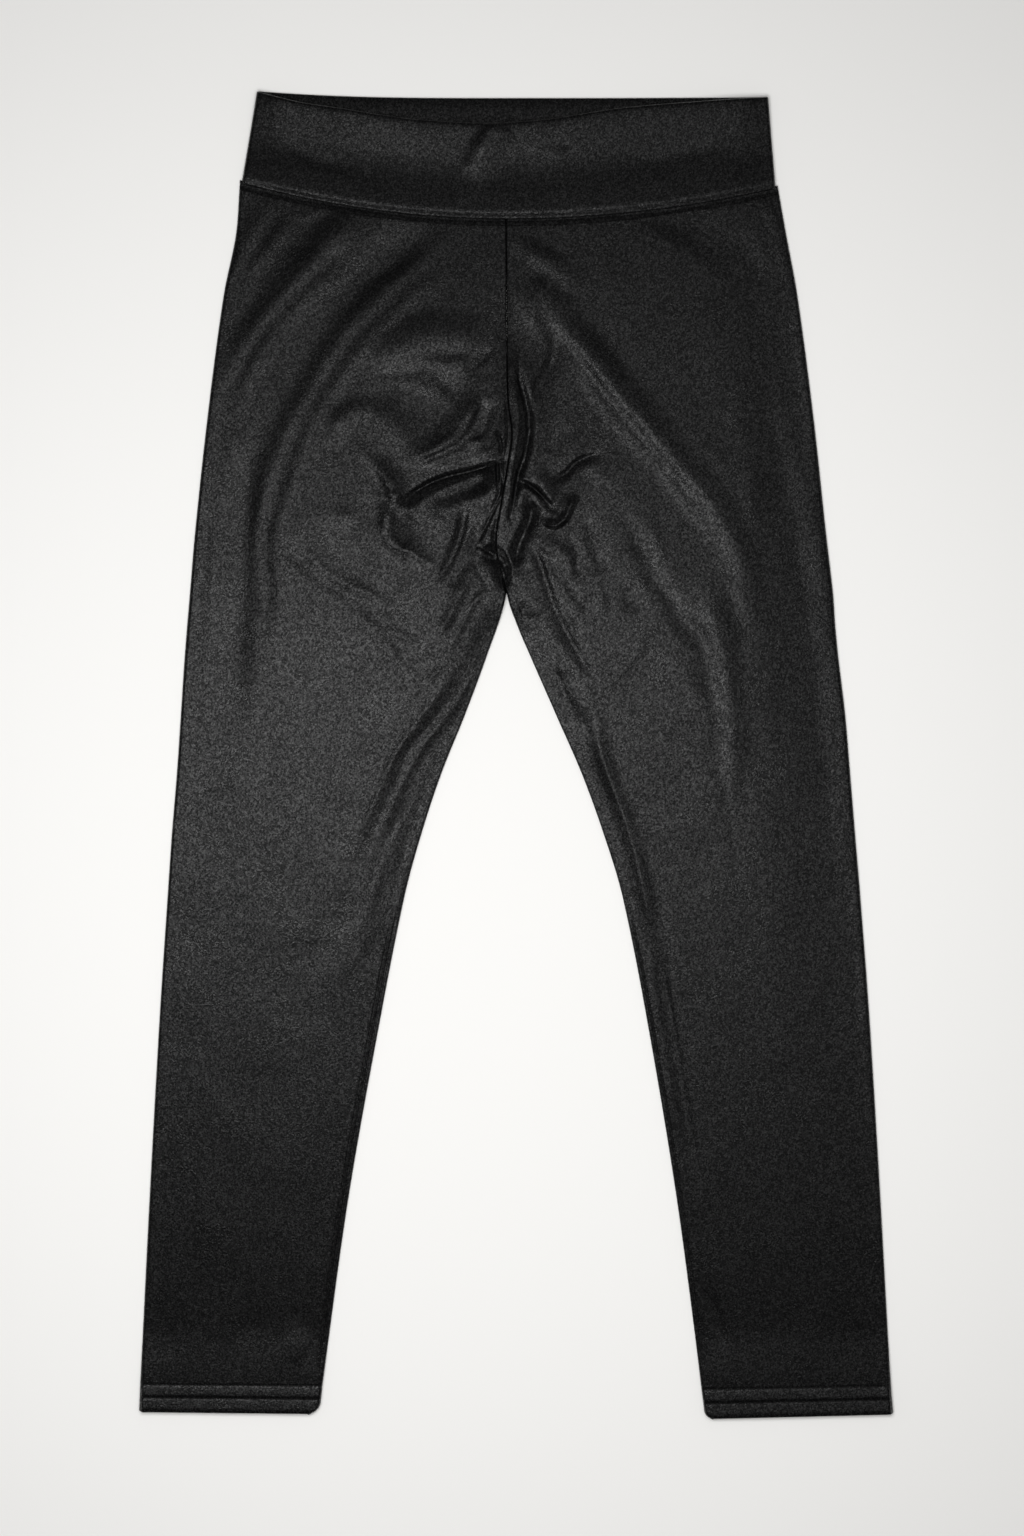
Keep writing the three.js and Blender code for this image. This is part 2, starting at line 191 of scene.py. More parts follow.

# %% [markdown]
# ## The folds
#
# Stretch cloth that is laid down keeps a memory of the body: long folds fall from the waist to the
# sides, the crotch pulls short deep ones, and faint ripples cross the legs. Each row below is one
# fold: the points of its path, its width on the left and on the right of the path's travel, its
# rise at the start, middle and end of the crest, negative for a trough, and how sharp the crest is,
# from 0 for a soft swell to 1 for a crease. The paths were placed, then shifted, widened and
# raised until their light and shade agreed with the photo. Noise can't do this, because these
# folds are this garment's shape. A simulation could, but it would choose its own.

# %% The folds of the front
front_folds = [
    # Right hip: long folds that fall from the waist seam to the side
    ([(-126.5, 388.5), (-150.5, 361.5), (-167, 344), (-182, 329), (-197, 309), (-207, 294),
      (-218, 270), (-222, 250)], 9, 15, (0.1, 0.95, 0.72), 0.3),
    ([(-121.5, 365.5), (-147, 345), (-164, 328), (-178, 311.5), (-191, 291.5), (-199.5, 272.5),
      (-208, 250.5)], 10.5, 10.5, (0.83, 0.59, 0.93), 0),
    ([(-62, 367), (-101.5, 332.5), (-122, 313), (-138.5, 292.5), (-150.5, 272), (-163, 250),
      (-173, 226.5), (-181, 205.5), (-188.5, 182), (-188.5, 161), (-187, 127), (-185, 77)], 6, 15,
      (0.5, 0.8, -1.27), 0),
    ([(-59, 364), (-92, 339), (-125.5, 306), (-151.5, 271), (-171, 235), (-181.5, 199),
      (-186.5, 166), (-186, 122)], 4.5, 5, (-0.4, 0.1, -0.4), 0),
    ([(-49.5, 352.5), (-73, 341), (-91.5, 323.5), (-107.5, 309.5), (-124, 285), (-141, 260),
      (-152.5, 237.5), (-165, 210.5), (-173.5, 181), (-176, 155)], 7.5, 9.5, (0.61, 0.81, 0.46), 0),
    ([(-217.5, 210), (-222.5, 159), (-227.5, 107), (-230, 48)], 6.5, 7.5, (0.01, 0.54, 0.59), 0),
    ([(-185, 406.5), (-199.5, 376.5), (-214.5, 350), (-220.5, 325.5), (-223, 300)], 10, 14,
      (1.5, 0.91, -1.85), 0),
    ([(-165, 400), (-183, 374), (-200.5, 353), (-206.5, 333.5), (-213, 310)], 10.5, 8.5,
      (0.96, 0.56, -0.01), 0),
    ([(-170, 400.5), (-158, 396.5), (-147.5, 400.5), (-138, 407.5)], 5.5, 5, (0.15, 0.29, 0.56), 0),
    ([(-173, 373), (-161, 377), (-148.5, 372)], 6.5, 6.5, (-0.29, -0.09, -0.4), 0),
    ([(-113.5, 397.5), (-138.5, 378.5), (-156, 357.5), (-172, 338), (-187, 316), (-199, 292),
      (-208, 270)], 17.5, 19.5, (2.9, 0.58, 0.2), 0),
    ([(-62.5, 393), (-84, 373.5), (-104.5, 356.5), (-117.5, 344.5), (-134, 325.5), (-149, 301),
      (-159.5, 281), (-169, 258.5), (-179, 235.5)], 16.5, 25.5, (-3.67, -1.2, -0.69), 0),
    ([(-185, 240.5), (-196, 216), (-200.5, 190.5), (-204, 165), (-204, 140), (-203.5, 110),
      (-206, 85), (-208, 60), (-208, 40), (-210, 10)], 18.5, 19.5, (-2.11, -2.49, -0.8), 0),
    ([(-158, 245.5), (-167, 218.5), (-176.5, 194), (-183.5, 169), (-184.5, 145), (-182.5, 120),
      (-185, 92)], 8.5, 7.5, (-0.12, -0.88, -1.14), 0),
    ([(-152, 233), (-158.5, 212.5), (-165, 192), (-170, 172)], 4, 6, (0.53, 0.74, 0.64), 0),
    # Right hip: arches and hooks that the crotch pulls in
    ([(-37, 280.5), (-28, 275.5), (-19, 276)], 6.5, 9, (0.19, 0.32, 0.63), 0),
    ([(-136.5, 234), (-128, 246.5), (-116, 255), (-101, 250.5), (-88.5, 237.5), (-81.5, 221.5)],
      11.5, 12.5, (1.75, 0.39, 0.9), 0),
    ([(-145, 248), (-131.5, 263), (-112, 266.5), (-92, 266), (-78.5, 253), (-75, 234.5)], 34, 14.5,
      (-0.28, -0.49, -1.05), 0),
    ([(-24, 176.5), (-29.5, 160), (-37, 144.5), (-48.5, 131), (-56.5, 120)], 10, 12.5,
      (-1.44, -1.63, -0.58), 0),
    ([(-114, 282), (-98.5, 293.5), (-82.5, 302), (-64, 309), (-44, 308), (-30.5, 304),
      (-19.5, 300.5)], 22.5, 24, (0.83, 2.05, 1.33), 0),
    ([(-17, 300.5), (-23, 294), (-29, 287.5), (-35.5, 280.5), (-38, 271)], 4.5, 8,
      (-0.78, -0.45, 0.01), 0),
    ([(-72, 290), (-56, 287.5), (-43, 288.5), (-32, 288.5)], 9, 16.5, (0.86, 1.05, 1.3), 0),
    ([(-102, 280), (-84, 282), (-66, 285)], 8, 7, (-0.55, -0.19, -0.2), 0),
    ([(-64.5, 286.5), (-56, 277), (-49, 268), (-44.5, 261)], 10, 5.5, (-0.63, -0.54, -0.59), 0),
    ([(-109.5, 280), (-91.5, 276), (-72.5, 274), (-60.5, 265)], 12, 8.5, (-0.07, 0.2, 0.8), 0.6),
    ([(-21, 261), (-29, 262), (-35, 252), (-43.5, 241), (-52.5, 232), (-64.5, 225.5), (-75, 219.5),
      (-86.5, 213)], 7, 14, (1.71, 1.49, -0.04), 0),
    ([(-19.5, 260), (-21.5, 250), (-24.5, 241), (-29, 231), (-27, 222)], 5.5, 5,
      (-0.38, -0.59, -0.42), 0),
    ([(-31.5, 250), (-39, 238), (-49, 227), (-60, 220.5), (-72.5, 216.5)], 5, 3.5,
      (0.74, -0.05, -1.03), 0),
    ([(-24, 223.5), (-40, 223), (-56, 218), (-72, 215), (-84, 211)], 8, 20, (0.14, 1.42, -0.47), 0),
    ([(-30, 235), (-26.5, 225), (-21, 219)], 7.5, 9.5, (1.94, 1.05, 1.22), 0),
    ([(-9.5, 217), (-21.5, 213.5), (-36, 209.5), (-49.5, 206.5), (-62, 202), (-72.5, 196),
      (-81.5, 189), (-87, 183)], 13, 1.5, (-4.06, -4.2, -3.36), 0.9),
    ([(-109.5, 225), (-102, 213), (-94.5, 200), (-91, 187.5), (-84.5, 180.5)], 16, 2,
      (-0.54, 1.05, 3.62), 0),
    ([(-107, 218.5), (-99, 205.5), (-92.5, 193.5), (-86, 185.5)], 17, 4, (-0.08, 0.68, 0.04), 0),
    ([(-16.5, 210.5), (-28.5, 206), (-41, 201), (-53, 196), (-64.5, 191.5), (-73.5, 183.5),
      (-81, 178), (-87, 179), (-92.5, 187), (-96, 199.5), (-102.5, 212), (-111.5, 222)], 5.5, 9,
      (-0.12, 0.72, 1.54), 0.3),
    ([(-17, 204), (-29, 200), (-43, 194), (-55, 190), (-66, 184)], 11, 8.5, (-3.62, -2.08, -0.49),
      0),
    ([(-99.5, 189.5), (-95, 176), (-95, 162), (-87, 152.5), (-76.5, 148.5), (-67, 141.5),
      (-57.5, 139.5)], 12, 12, (3.51, 2.43, 1.03), 0.9),
    ([(-79, 174.5), (-76, 164.5), (-71, 156)], 8.5, 10.5, (-1.62, -0.82, 0.3), 0.3),
    ([(-38, 184), (-39.5, 167.5), (-45, 151.5), (-51.5, 138), (-59.5, 125)], 5.5, 7.5,
      (-2.29, -1.92, -0.2), 0.3),
    ([(-35.5, 159), (-40.5, 148.5), (-47, 136), (-57, 122.5)], 6.5, 6, (0.47, 0.07, 0.54), 0.6),
    ([(-64, 177.5), (-55.5, 172), (-52, 160.5), (-59.5, 148)], 4.5, 11.5, (0.39, 0.16, 0.04), 0),
    # Right thigh: folds under the crotch
    ([(-33.5, 130.5), (-41.5, 118), (-48, 104.5), (-56, 88.5)], 7.5, 8.5, (1.3, 1.36, 2.03), 0.6),
    ([(-23, 122.5), (-33, 109.5), (-42, 92.5), (-48.5, 78)], 5, 3.5, (1.27, 0.54, 0.85), 0.6),
    ([(-16.5, 117.5), (-23.5, 108.5), (-30.5, 92), (-38, 80)], 9, 9, (0.58, 0.05, 0.76), 0),
    ([(-163.5, 159.5), (-143.5, 142), (-122.5, 128.5), (-108, 117)], 7.5, 7.5, (0.09, 0.03, 0.49),
      0),
    ([(-83, 136.5), (-90.5, 121), (-95.5, 99)], 4.5, 7, (-0.44, -0.94, -1), 0.9),
    ([(-167, 152), (-157.5, 141.5), (-145, 131), (-132, 122.5), (-122.5, 113.5)], 6, 8,
      (-1.46, -0.26, -0.95), 0),
    ([(-154, 148), (-142, 135), (-131, 127.5), (-119, 122), (-108, 116.5), (-97.5, 110.5)], 8.5,
      6.5, (0.85, 0.64, 1.2), 0.6),
    ([(-117.5, 106), (-109.5, 95.5), (-100.5, 86.5), (-92.5, 76), (-87, 65)], 7.5, 7,
      (1.74, 0.68, 1.4), 0.6),
    ([(-102, 92.5), (-88.5, 89), (-74.5, 82.5)], 5, 3.5, (0.18, 0.64, 0.86), 0.6),
    ([(-161.5, 157), (-158, 170), (-148.5, 176.5), (-138, 175.5), (-125.5, 175), (-117, 182)], 10,
      8.5, (0.6, 0.03, 0.85), 0),
    ([(-114, 190), (-109.5, 178), (-101.5, 169.5)], 4.5, 5, (-0.34, -0.19, -0.3), 0),
    # Crotch: the front seam stands up between deep valleys
    ([(-7, 312), (-5, 272), (-5, 238), (-10, 204), (-14, 168)], 34, 22, (1.2, 4.4, 2.4), 0.5),
    ([(-11.5, 216), (-10, 195.5), (-17, 179), (-26, 161.5), (-32, 152.5)], 2.4, 2.4,
      (-1.4, -1.6, -1), 0.7),
    ([(-31, 153), (-21.5, 147.5), (-12, 144), (-9, 136)], 1.8, 2.2, (0.9, 1.3, 0.9), 0.8),
    ([(-28.5, 143), (-23, 131.5), (-16.5, 119)], 1.8, 2.2, (0.9, 1.1, 0.6), 0.8),
    ([(-79.5, 215), (-57.5, 224), (-40, 236), (-31, 252.5), (-23.5, 263)], 9, 4.5, (0.8, 1.2, 0.9),
      0.3),
    ([(-80, 190), (-65.5, 198.5), (-44.5, 206), (-24, 212), (-13, 217)], 5, 10, (-0.8, -1.1, -0.9),
      0.2),
    ([(-14, 237), (-11.5, 229.5), (-10.5, 221.5)], 1.5, 1.5, (3.5, 4.2, 4.2), 0.9),
    ([(-14, 216), (-13.5, 207.5), (-13.5, 198.5)], 1.5, 2.5, (4.2, 3.69, 4.2), 0.3),
    ([(-13.5, 190.5), (-18.5, 178.5), (-24.5, 167.5), (-31, 156.5), (-36.5, 147), (-46, 136),
      (-53, 126.5)], 4.5, 7, (-0.16, -0.16, 1.13), 0),
    ([(-14, 195), (-18.5, 184), (-22, 173.5)], 3, 6, (-1.23, -1.03, -0.51), 0),
    ([(-13.5, 175), (-16, 162), (-16, 153.5)], 2, 4, (1.09, 0.97, 3.15), 0.9),
    ([(-29, 147.5), (-26.5, 137), (-20.5, 127), (-15.5, 119)], 2.5, 7, (-1.08, -0.82, -0.35), 0.3),
    ([(-26.5, 153.5), (-18, 148), (-12, 140.5), (-8.5, 131), (-6, 121.5)], 7, 12,
      (-4.2, -4.2, -4.2), 0.9),
    ([(-17.5, 154.5), (-9, 147.5), (-5, 136)], 3, 7, (-1.13, -0.82, -3.06), 0),
    ([(-3, 285), (-1, 268), (1.5, 252), (1, 236), (-1, 222), (-4, 206), (-5, 192), (-9, 178),
      (-11.5, 165)], 5.5, 7.5, (1.62, 2.08, 0.93), 0),
    ([(-7.5, 262), (-6, 246), (-6, 232), (-9, 218), (-11, 204), (-12, 193), (-14.5, 182),
      (-18.5, 171.5)], 2, 3, (1.19, 0.28, 1.2), 0.5),
    ([(2, 296), (2, 277), (6, 262), (8.5, 247), (8, 232), (5.5, 220), (1.5, 208), (-1, 196),
      (-2.5, 184), (-5, 174)], 7, 2, (-2.56, -4.2, -3.52), 0.6),
    # Left hip: the crotch's valleys and loops, and the long fold from the waist to the thigh
    ([(3, 183.5), (1, 177.5), (-3.5, 174)], 4, 10.5, (0.19, 0.09, 0.08), 0),
    ([(10.5, 188), (10.5, 175.5), (6, 164), (2, 155), (0, 145), (1.5, 136.5)], 11, 7.5,
      (-4.2, -3.48, -4.2), 0.9),
    ([(4, 209), (14, 206.5), (20, 198), (24, 189.5), (30.5, 184)], 13, 6, (-1.15, 1.76, 1.94), 0),
    ([(1.5, 201.5), (8.5, 199), (16, 193.5), (23, 186), (27, 180.5)], 2.5, 2, (-4.2, -4.2, -1.07),
      0.6),
    ([(0, 179), (2, 188), (6, 195), (11, 191.5), (17.5, 183), (26.5, 176.5), (31.5, 179), (35, 188),
      (37.5, 197.5), (45, 204.5), (54.5, 207.5)], 5, 3.5, (0.84, 0.59, -0.28), 0),
    ([(18.5, 171.5), (28, 167.5), (36.5, 173), (41, 182.5), (47, 192)], 13.5, 2, (3.43, 4.2, 2.17),
      0.9),
    ([(26, 205), (34.5, 207), (43, 215.5), (54.5, 221), (68, 222.5)], 1.5, 9, (-2.12, -2.61, 0.16),
      0.6),
    ([(24, 221), (31.5, 233), (41.5, 243)], 13.5, 9, (-0.58, -0.58, -0.35), 0),
    ([(14, 162), (19, 155.5), (25, 147)], 14, 3.5, (0.05, 0.94, 1.09), 0),
    ([(28.5, 151.5), (34.5, 144), (37, 135)], 3.5, 8.5, (-0.32, -0.16, -0.19), 0),
    ([(37, 160.5), (44.5, 151), (45.5, 139), (43.5, 129.5)], 6.5, 5.5, (-0.47, -0.53, -1.2), 0),
    ([(8, 158.5), (16.5, 144.5), (23, 125), (29, 107.5), (38, 88.5), (53.5, 64.5)], 5.5, 14,
      (-2.78, -1.49, -1.72), 0.9),
    ([(7.5, 144), (12, 125), (17.5, 109)], 6, 6, (-0.4, -0.4, -0.12), 0),
    ([(1.5, 113.5), (7, 100.5), (18, 100), (25.5, 106)], 9.5, 2.5, (-0.98, -0.62, -0.66), 0.3),
    ([(51.5, 177.5), (56.5, 160), (62.5, 142), (66.5, 129)], 12, 9, (-0.62, -0.68, -0.93), 0.2),
    ([(77.5, 167.5), (92, 147), (103, 130), (113, 117), (125.5, 99.5), (139.5, 83), (144.5, 49),
      (151.5, 4)], 8, 7.5, (0.07, -0.53, -0.24), 0),
    ([(75, 180.5), (88.5, 162), (100, 143), (111.5, 126)], 12.5, 7.5, (-0.24, -0.49, 0.26), 0),
    ([(94, 173.5), (102, 157), (112.5, 137.5), (122.5, 118.5)], 9.5, 9.5, (0.49, 0.3, 0.28), 0),
    ([(-6.5, 347), (8, 345.5), (23.5, 340.5)], 11, 34, (0.06, 1.25, 2.35), 0),
    ([(24, 329.5), (49.5, 300), (73, 269), (98.5, 239.5), (122, 210), (141.5, 187.5), (154, 166),
      (165, 144), (170.5, 113.5), (178, 85)], 19.5, 9.5, (3.24, 2.11, -0.22), 0),
    ([(45, 294), (67, 264), (92.5, 235.5), (115.5, 207.5), (135.5, 183.5)], 3, 2,
      (-0.21, -0.28, -0.65), 0.9),
    ([(31, 300), (48.5, 267.5), (60.5, 248.5), (81, 226.5), (102.5, 203), (123.5, 177),
      (140.5, 155.5), (156.5, 128.5)], 9, 34, (-1.01, -0.51, -1.1), 0),
    ([(8, 330.5), (14, 319), (19, 303)], 12, 6, (0.15, 0.68, 0.14), 0),
    ([(20, 320.5), (28.5, 305), (26, 290.5), (17, 273), (12, 256)], 11.5, 7, (-0.25, -1.84, -0.95),
      0.3),
    ([(3, 315.5), (7.5, 296.5), (13, 283)], 13.5, 15, (-0.21, -0.39, -0.36), 0),
    ([(137.5, 403.5), (165.5, 396), (184, 376), (194.5, 348.5)], 34, 11, (-0.18, 0.83, 0.58), 0),
    ([(184.5, 410.5), (190.5, 386), (198, 365)], 9.5, 7, (1.19, 0.44, 0.38), 0),
    ([(161, 247), (170, 214), (174.5, 184), (178, 159)], 22, 7, (0.11, 0.31, 0.43), 0),
    ([(182, 292), (186.5, 254.5), (201.5, 214), (210, 173), (216.5, 136), (221.5, 96)], 10, 12,
      (-0.14, -0.44, -0.19), 0),
    ([(197, 248), (207.5, 210), (214.5, 166), (224, 114), (230.5, 55.5)], 34, 13,
      (0.69, 0.76, 0.28), 0),
    ([(37.5, 127.5), (42, 118.5), (48, 112), (51, 103.5)], 6.5, 5, (-0.58, -0.41, -0.33), 0),
    ([(58.5, 121), (53.5, 114), (49, 105)], 4.5, 3, (-0.39, -0.55, -0.36), 0.6),
    ([(61, 121), (63, 112.5), (65.5, 104.5)], 6.5, 6.5, (0.31, 0.44, 0.55), 0),
    ([(82.5, 123.5), (85.5, 113), (87.5, 103)], 11, 10, (-0.91, -0.69, -0.34), 0),
    ([(24, 152), (31, 150), (36.5, 143), (38, 135)], 8, 7.5, (0.66, 0.86, 0.01), 0),
    ([(20, 141), (26.5, 125.5), (32.5, 112), (38, 97.5), (47.5, 84.5)], 7, 20, (1.09, -0.6, -1.68),
      0),
    ([(47.5, 201), (60, 206.5), (72.5, 201.5)], 21, 10.5, (-0.44, 0.4, 0.4), 0),
    ([(-6, 391), (0.5, 379.5), (13, 371.5), (25.5, 365.5), (39, 356)], 9, 9, (-0.11, 0.56, 0.41),
      0),
    ([(1.5, 373.5), (14.5, 365.5), (29, 357), (44, 348.5), (57, 335)], 13.5, 9, (0.74, 0.49, -0.06),
      0),
    ([(-5, 346), (11, 345), (23, 337.5)], 11, 10, (-0.15, -0.7, -0.62), 0),
    ([(36, 334), (53, 317), (69, 300), (86, 283), (102, 260.5), (120, 242), (136, 223), (152, 203)],
      28, 10.5, (-0.69, 0.26, 0.66), 0),
    ([(90.5, 401), (116, 393), (139.5, 379), (161.5, 362.5), (174.5, 342.5), (182.5, 322),
      (189.5, 303.5), (195.5, 283.5)], 34, 16, (-1.9, -0.53, 0.09), 0),
    ([(128.5, 401.5), (150, 392.5), (169, 381), (182.5, 363), (187, 345.5)], 10, 7.5,
      (0.07, 0.31, 0.25), 0.3),
    ([(180, 262.5), (188, 230.5), (192, 195), (196.5, 155), (200.5, 115)], 16.5, 14.5,
      (-0.11, -0.14, 0.33), 0),
    ([(158.5, 300), (162, 262), (165.5, 225), (169.5, 190), (174, 160)], 16.5, 6.5,
      (0.21, 0.16, 0.18), 0),
    # Thighs: long diagonals from the crotch, and faint ripples across
    ([(-30.5, 84.5), (-47, 60), (-63.5, 37.5), (-78.5, 16.5), (-90, -1), (-99.5, -23.5),
      (-110, -48.5), (-123, -79.5)], 8.5, 6.5, (0.24, 1.09, 1.07), 0.9),
    ([(-39, 57.5), (-47, 44.5), (-65, 19), (-79, 2), (-88.5, -24), (-100, -49.5), (-112.5, -77.5)],
      2.5, 8.5, (-0.07, -0.93, -0.3), 0.6),
    ([(-30, 62), (-39, 46.5), (-53.5, 26), (-67.5, 8), (-78, -10), (-85, -25)], 7.5, 3,
      (0.58, 0.74, 0.84), 0.6),
    ([(-71, -34), (-81, -44.5), (-88.5, -58), (-92.5, -69)], 3, 3, (-0.04, 0.38, 0.11), 0),
    ([(-76.5, -44), (-89.5, -62), (-98.5, -84), (-107.5, -108), (-117.5, -135.5)], 7.5, 5,
      (0.33, 0.46, 0.53), 0),
    ([(-62, -16), (-74, -48.5), (-82.5, -77.5), (-89, -103.5)], 3.5, 8, (-0.65, -0.55, -0.44), 0.3),
    ([(-111.5, 64), (-117, 39), (-123, 12)], 3.5, 4, (-0.74, -0.71, -0.69), 0.6),
    ([(-230, -21), (-197, -24.5), (-160, -22.5), (-112, -27.5)], 10.5, 7, (0.93, -0.24, 0.75), 0),
    ([(-199, 30.5), (-178, 28.5), (-160, 26.5)], 4, 4.5, (-0.26, -0.33, -0.39), 0.6),
    ([(-214, -110), (-173, -112.5), (-138, -107.5), (-114.5, -115)], 4.5, 19.5,
      (-0.39, 0.04, -0.28), 0.3),
    ([(-188.5, -142), (-160, -145), (-129, -142)], 9.5, 22.5, (-0.1, -0.44, -0.58), 0),
    ([(-193, -167.5), (-171, -169), (-153, -168.5)], 7.5, 12.5, (-0.18, -0.22, -0.35), 0),
    ([(-175, -190.5), (-153, -191.5), (-127, -192)], 10.5, 13, (-0.36, -0.25, -0.16), 0),
    ([(-186, -201.5), (-167, -203), (-154, -205)], 11.5, 6, (0.15, 0.12, 0.05), 0),
    ([(-188, -239.5), (-167, -241.5), (-147, -242.5)], 7, 12.5, (-0.22, -0.16, -0.11), 0),
    ([(-203.5, -288), (-187.5, -285), (-170.5, -281)], 4.5, 14.5, (-0.1, -0.06, -0.12), 0),
    ([(-201, -312), (-178, -311), (-156, -309)], 13.5, 9.5, (0.14, 0.12, 0.22), 0),
    ([(-203.5, -366.5), (-188, -365), (-171, -363.5)], 8.5, 10, (-0.16, -0.11, -0.06), 0),
    ([(-208, -418.5), (-193, -419.5), (-177.5, -416.5)], 9, 17.5, (-0.4, -0.39, -0.4), 0),
    ([(-101.5, -131), (-115.5, -139), (-125.5, -155), (-143.5, -171.5)], 11.5, 28.5,
      (0.79, 0.65, 0.41), 0),
    ([(-168.5, -429.5), (-160.5, -436), (-153, -443.5)], 11.5, 28, (0.55, 1.09, 1), 0),
    ([(97, 96.5), (87, 73.5), (72, 56), (55, 45)], 7.5, 5, (0.66, 0.81, 0.65), 0.9),
    ([(141.5, 121), (148.5, 85.5), (158.5, 47.5), (160.5, 16), (160, -15)], 17.5, 11.5,
      (2.51, 0.65, 0.45), 0),
    ([(150, 73), (154.5, 40), (159, 5), (160.5, -23)], 16.5, 8.5, (1.05, 0.69, 0.74), 0),
    ([(156.5, 120.5), (165.5, 98), (171, 78.5)], 9, 8.5, (-0.2, -0.16, -0.5), 0),
    ([(174, 144.5), (182, 123), (187.5, 103.5)], 11.5, 2.5, (-0.26, -0.15, -0.26), 0),
    ([(152.5, -26), (160.5, -61), (165, -93), (169.5, -124)], 6.5, 2, (-0.16, -0.05, -0.07), 0),
    ([(202, -54), (205.5, -91), (207.5, -112)], 7, 7, (0.14, 0.12, 0.1), 0),
    ([(56, 33), (64, -4), (75.5, -35.5), (86.5, -68.5), (94.5, -103), (101.5, -140)], 11, 10.5,
      (2.69, 1.62, 2.26), 0.6),
    ([(103.5, -134), (109.5, -174), (116, -211), (123.5, -255.5), (130, -292.5), (133.5, -321.5)],
      7, 8.5, (-2.05, -1.4, -1.35), 0.3),
    ([(37, 39), (46, 29), (54, 16)], 5.5, 5, (0.64, 0.4, -0.96), 0.3),
    ([(28.5, 64), (34.5, 47), (43.5, 29)], 8, 6.5, (-1.29, -1.17, -0.75), 0.9),
    ([(112.5, 15), (125.5, 17), (136.5, 19)], 6, 5.5, (-0.36, -0.34, -0.55), 0.6),
    ([(134.5, -30), (142.5, -28), (150.5, -26)], 10.5, 7, (0.34, 0.19, 0.2), 0),
    ([(188, -24.5), (206, -25), (226, -24.5)], 5, 15, (-0.1, -0.07, -0.14), 0),
    ([(103, -53), (118, -52), (130, -50.5)], 2.5, 9.5, (0.34, 0.3, 0.46), 0.3),
    ([(113.5, -143.5), (125.5, -140), (137.5, -137.5)], 7.5, 8, (0.12, 0.19, 0.18), 0),
    ([(120.5, -162), (129.5, -155), (137.5, -150)], 5.5, 6.5, (-0.03, 0.04, -0.1), 0.6),
    ([(134, -228), (158, -230), (184, -227)], 9, 9.5, (0.31, 0.1, 0.22), 0),
    ([(186, -239), (214, -241), (243.5, -237)], 16, 18, (-0.19, -0.19, -0.16), 0),
    ([(149, -271), (169, -273), (183.5, -270)], 7, 8, (0.09, 0.12, 0.09), 0),
    ([(157.5, -299.5), (172.5, -296.5), (185.5, -292.5)], 7, 17, (-0.15, -0.2, -0.05), 0),
    ([(140, -393), (146.5, -410.5), (152, -430), (163.5, -445.5)], 6, 6.5, (-1.26, -1.06, 0.5), 0),
    ([(227, 110), (233, 48), (237, -4), (242, -56), (246.5, -108)], 8, 9.5, (0.31, 0.22, 0.43), 0),
    ([(28, 103), (34.5, 90), (42, 78), (49.5, 67.5), (58, 60)], 3, 7.5, (-0.01, -0.24, -1), 0),
    ([(35, 62), (40, 50), (45, 40), (53, 30.5)], 13.5, 7, (-0.6, -0.01, 1.89), 0),
    ([(80, 171), (87, 156.5), (95.5, 144), (100, 131), (108.5, 119), (115, 109), (121, 96.5),
      (132.5, 85), (138.5, 68.5)], 11, 9.5, (-0.59, -0.55, -1.17), 0),
    ([(136, 66.5), (143, 42), (147.5, 18), (149, -8)], 14.5, 13.5, (-1.19, -0.03, -1.01), 0),
    ([(162, 84), (162, 52), (164.5, 22), (167, -8), (169.5, -40)], 8.5, 7.5, (-0.03, -0.07, -0.12),
      0),
    ([(151, -24), (156.5, -50), (161, -76), (164, -102)], 7.5, 5.5, (-0.24, -0.21, -0.11), 0),
    ([(-55.5, 64.5), (-66.5, 52.5), (-79, 43.5)], 4.5, 4, (0.8, 0.53, 0.59), 0.6),
    ([(-40, 53), (-52, 33), (-62, 14.5), (-74, -9), (-81.5, -33.5), (-88.5, -53.5), (-96.5, -77.5)],
      17, 11, (-0.15, -0.6, -1.36), 0),
    ([(-94.5, -75), (-103, -108), (-115, -132), (-122, -150)], 5.5, 6, (-0.28, 0.05, -0.65), 0),
    ([(-62, -30), (-69.5, -52), (-79, -80), (-85, -106), (-90.5, -132)], 4, 6, (-0.05, 0.35, 1.93),
      0),
    ([(-135, -63), (-126, -66.5)], 5.5, 3.5, (-0.4, -0.38, -0.43), 0),
    ([(-136.5, -106), (-124.5, -108.5), (-112.5, -111.5)], 4, 8, (-0.25, -0.16, -0.25), 0),
    ([(-152, -122), (-136, -122.5), (-120, -122)], 7.5, 12.5, (-0.29, -0.34, -0.4), 0),
    ([(-186, -138.5), (-162, -139.5), (-140, -143.5), (-115.5, -138.5), (-94.5, -134)], 6.5, 11.5,
      (-0.11, 0.01, -0.38), 0),
    ([(192, 60), (195.5, 24), (198, -10), (202, -50), (207, -82), (212, -108)], 5, 6.5,
      (-0.15, 0.04, -0.03), 0),
    ([(219, 58.5), (224, 20), (229, -20), (232.5, -62)], 8, 10.5, (-0.29, -0.11, -0.14), 0),
    ([(119, 2), (121.5, -20), (125.5, -42)], 6.5, 3, (-0.19, -0.1, -0.21), 0),
    ([(57, -8), (64.5, -36.5), (76.5, -66), (85, -98), (92, -130)], 5, 9, (-0.04, -0.03, 0.2), 0),
]
print(len(front_folds), "folds on the front")

# %% [markdown]
# The underside is pressed flat by the weight of the cloth, and its folds are few and shallow. They
# lift a little off the floor, and the top layer never comes down through them. Where a row gives
# one rise, the whole crest has it.

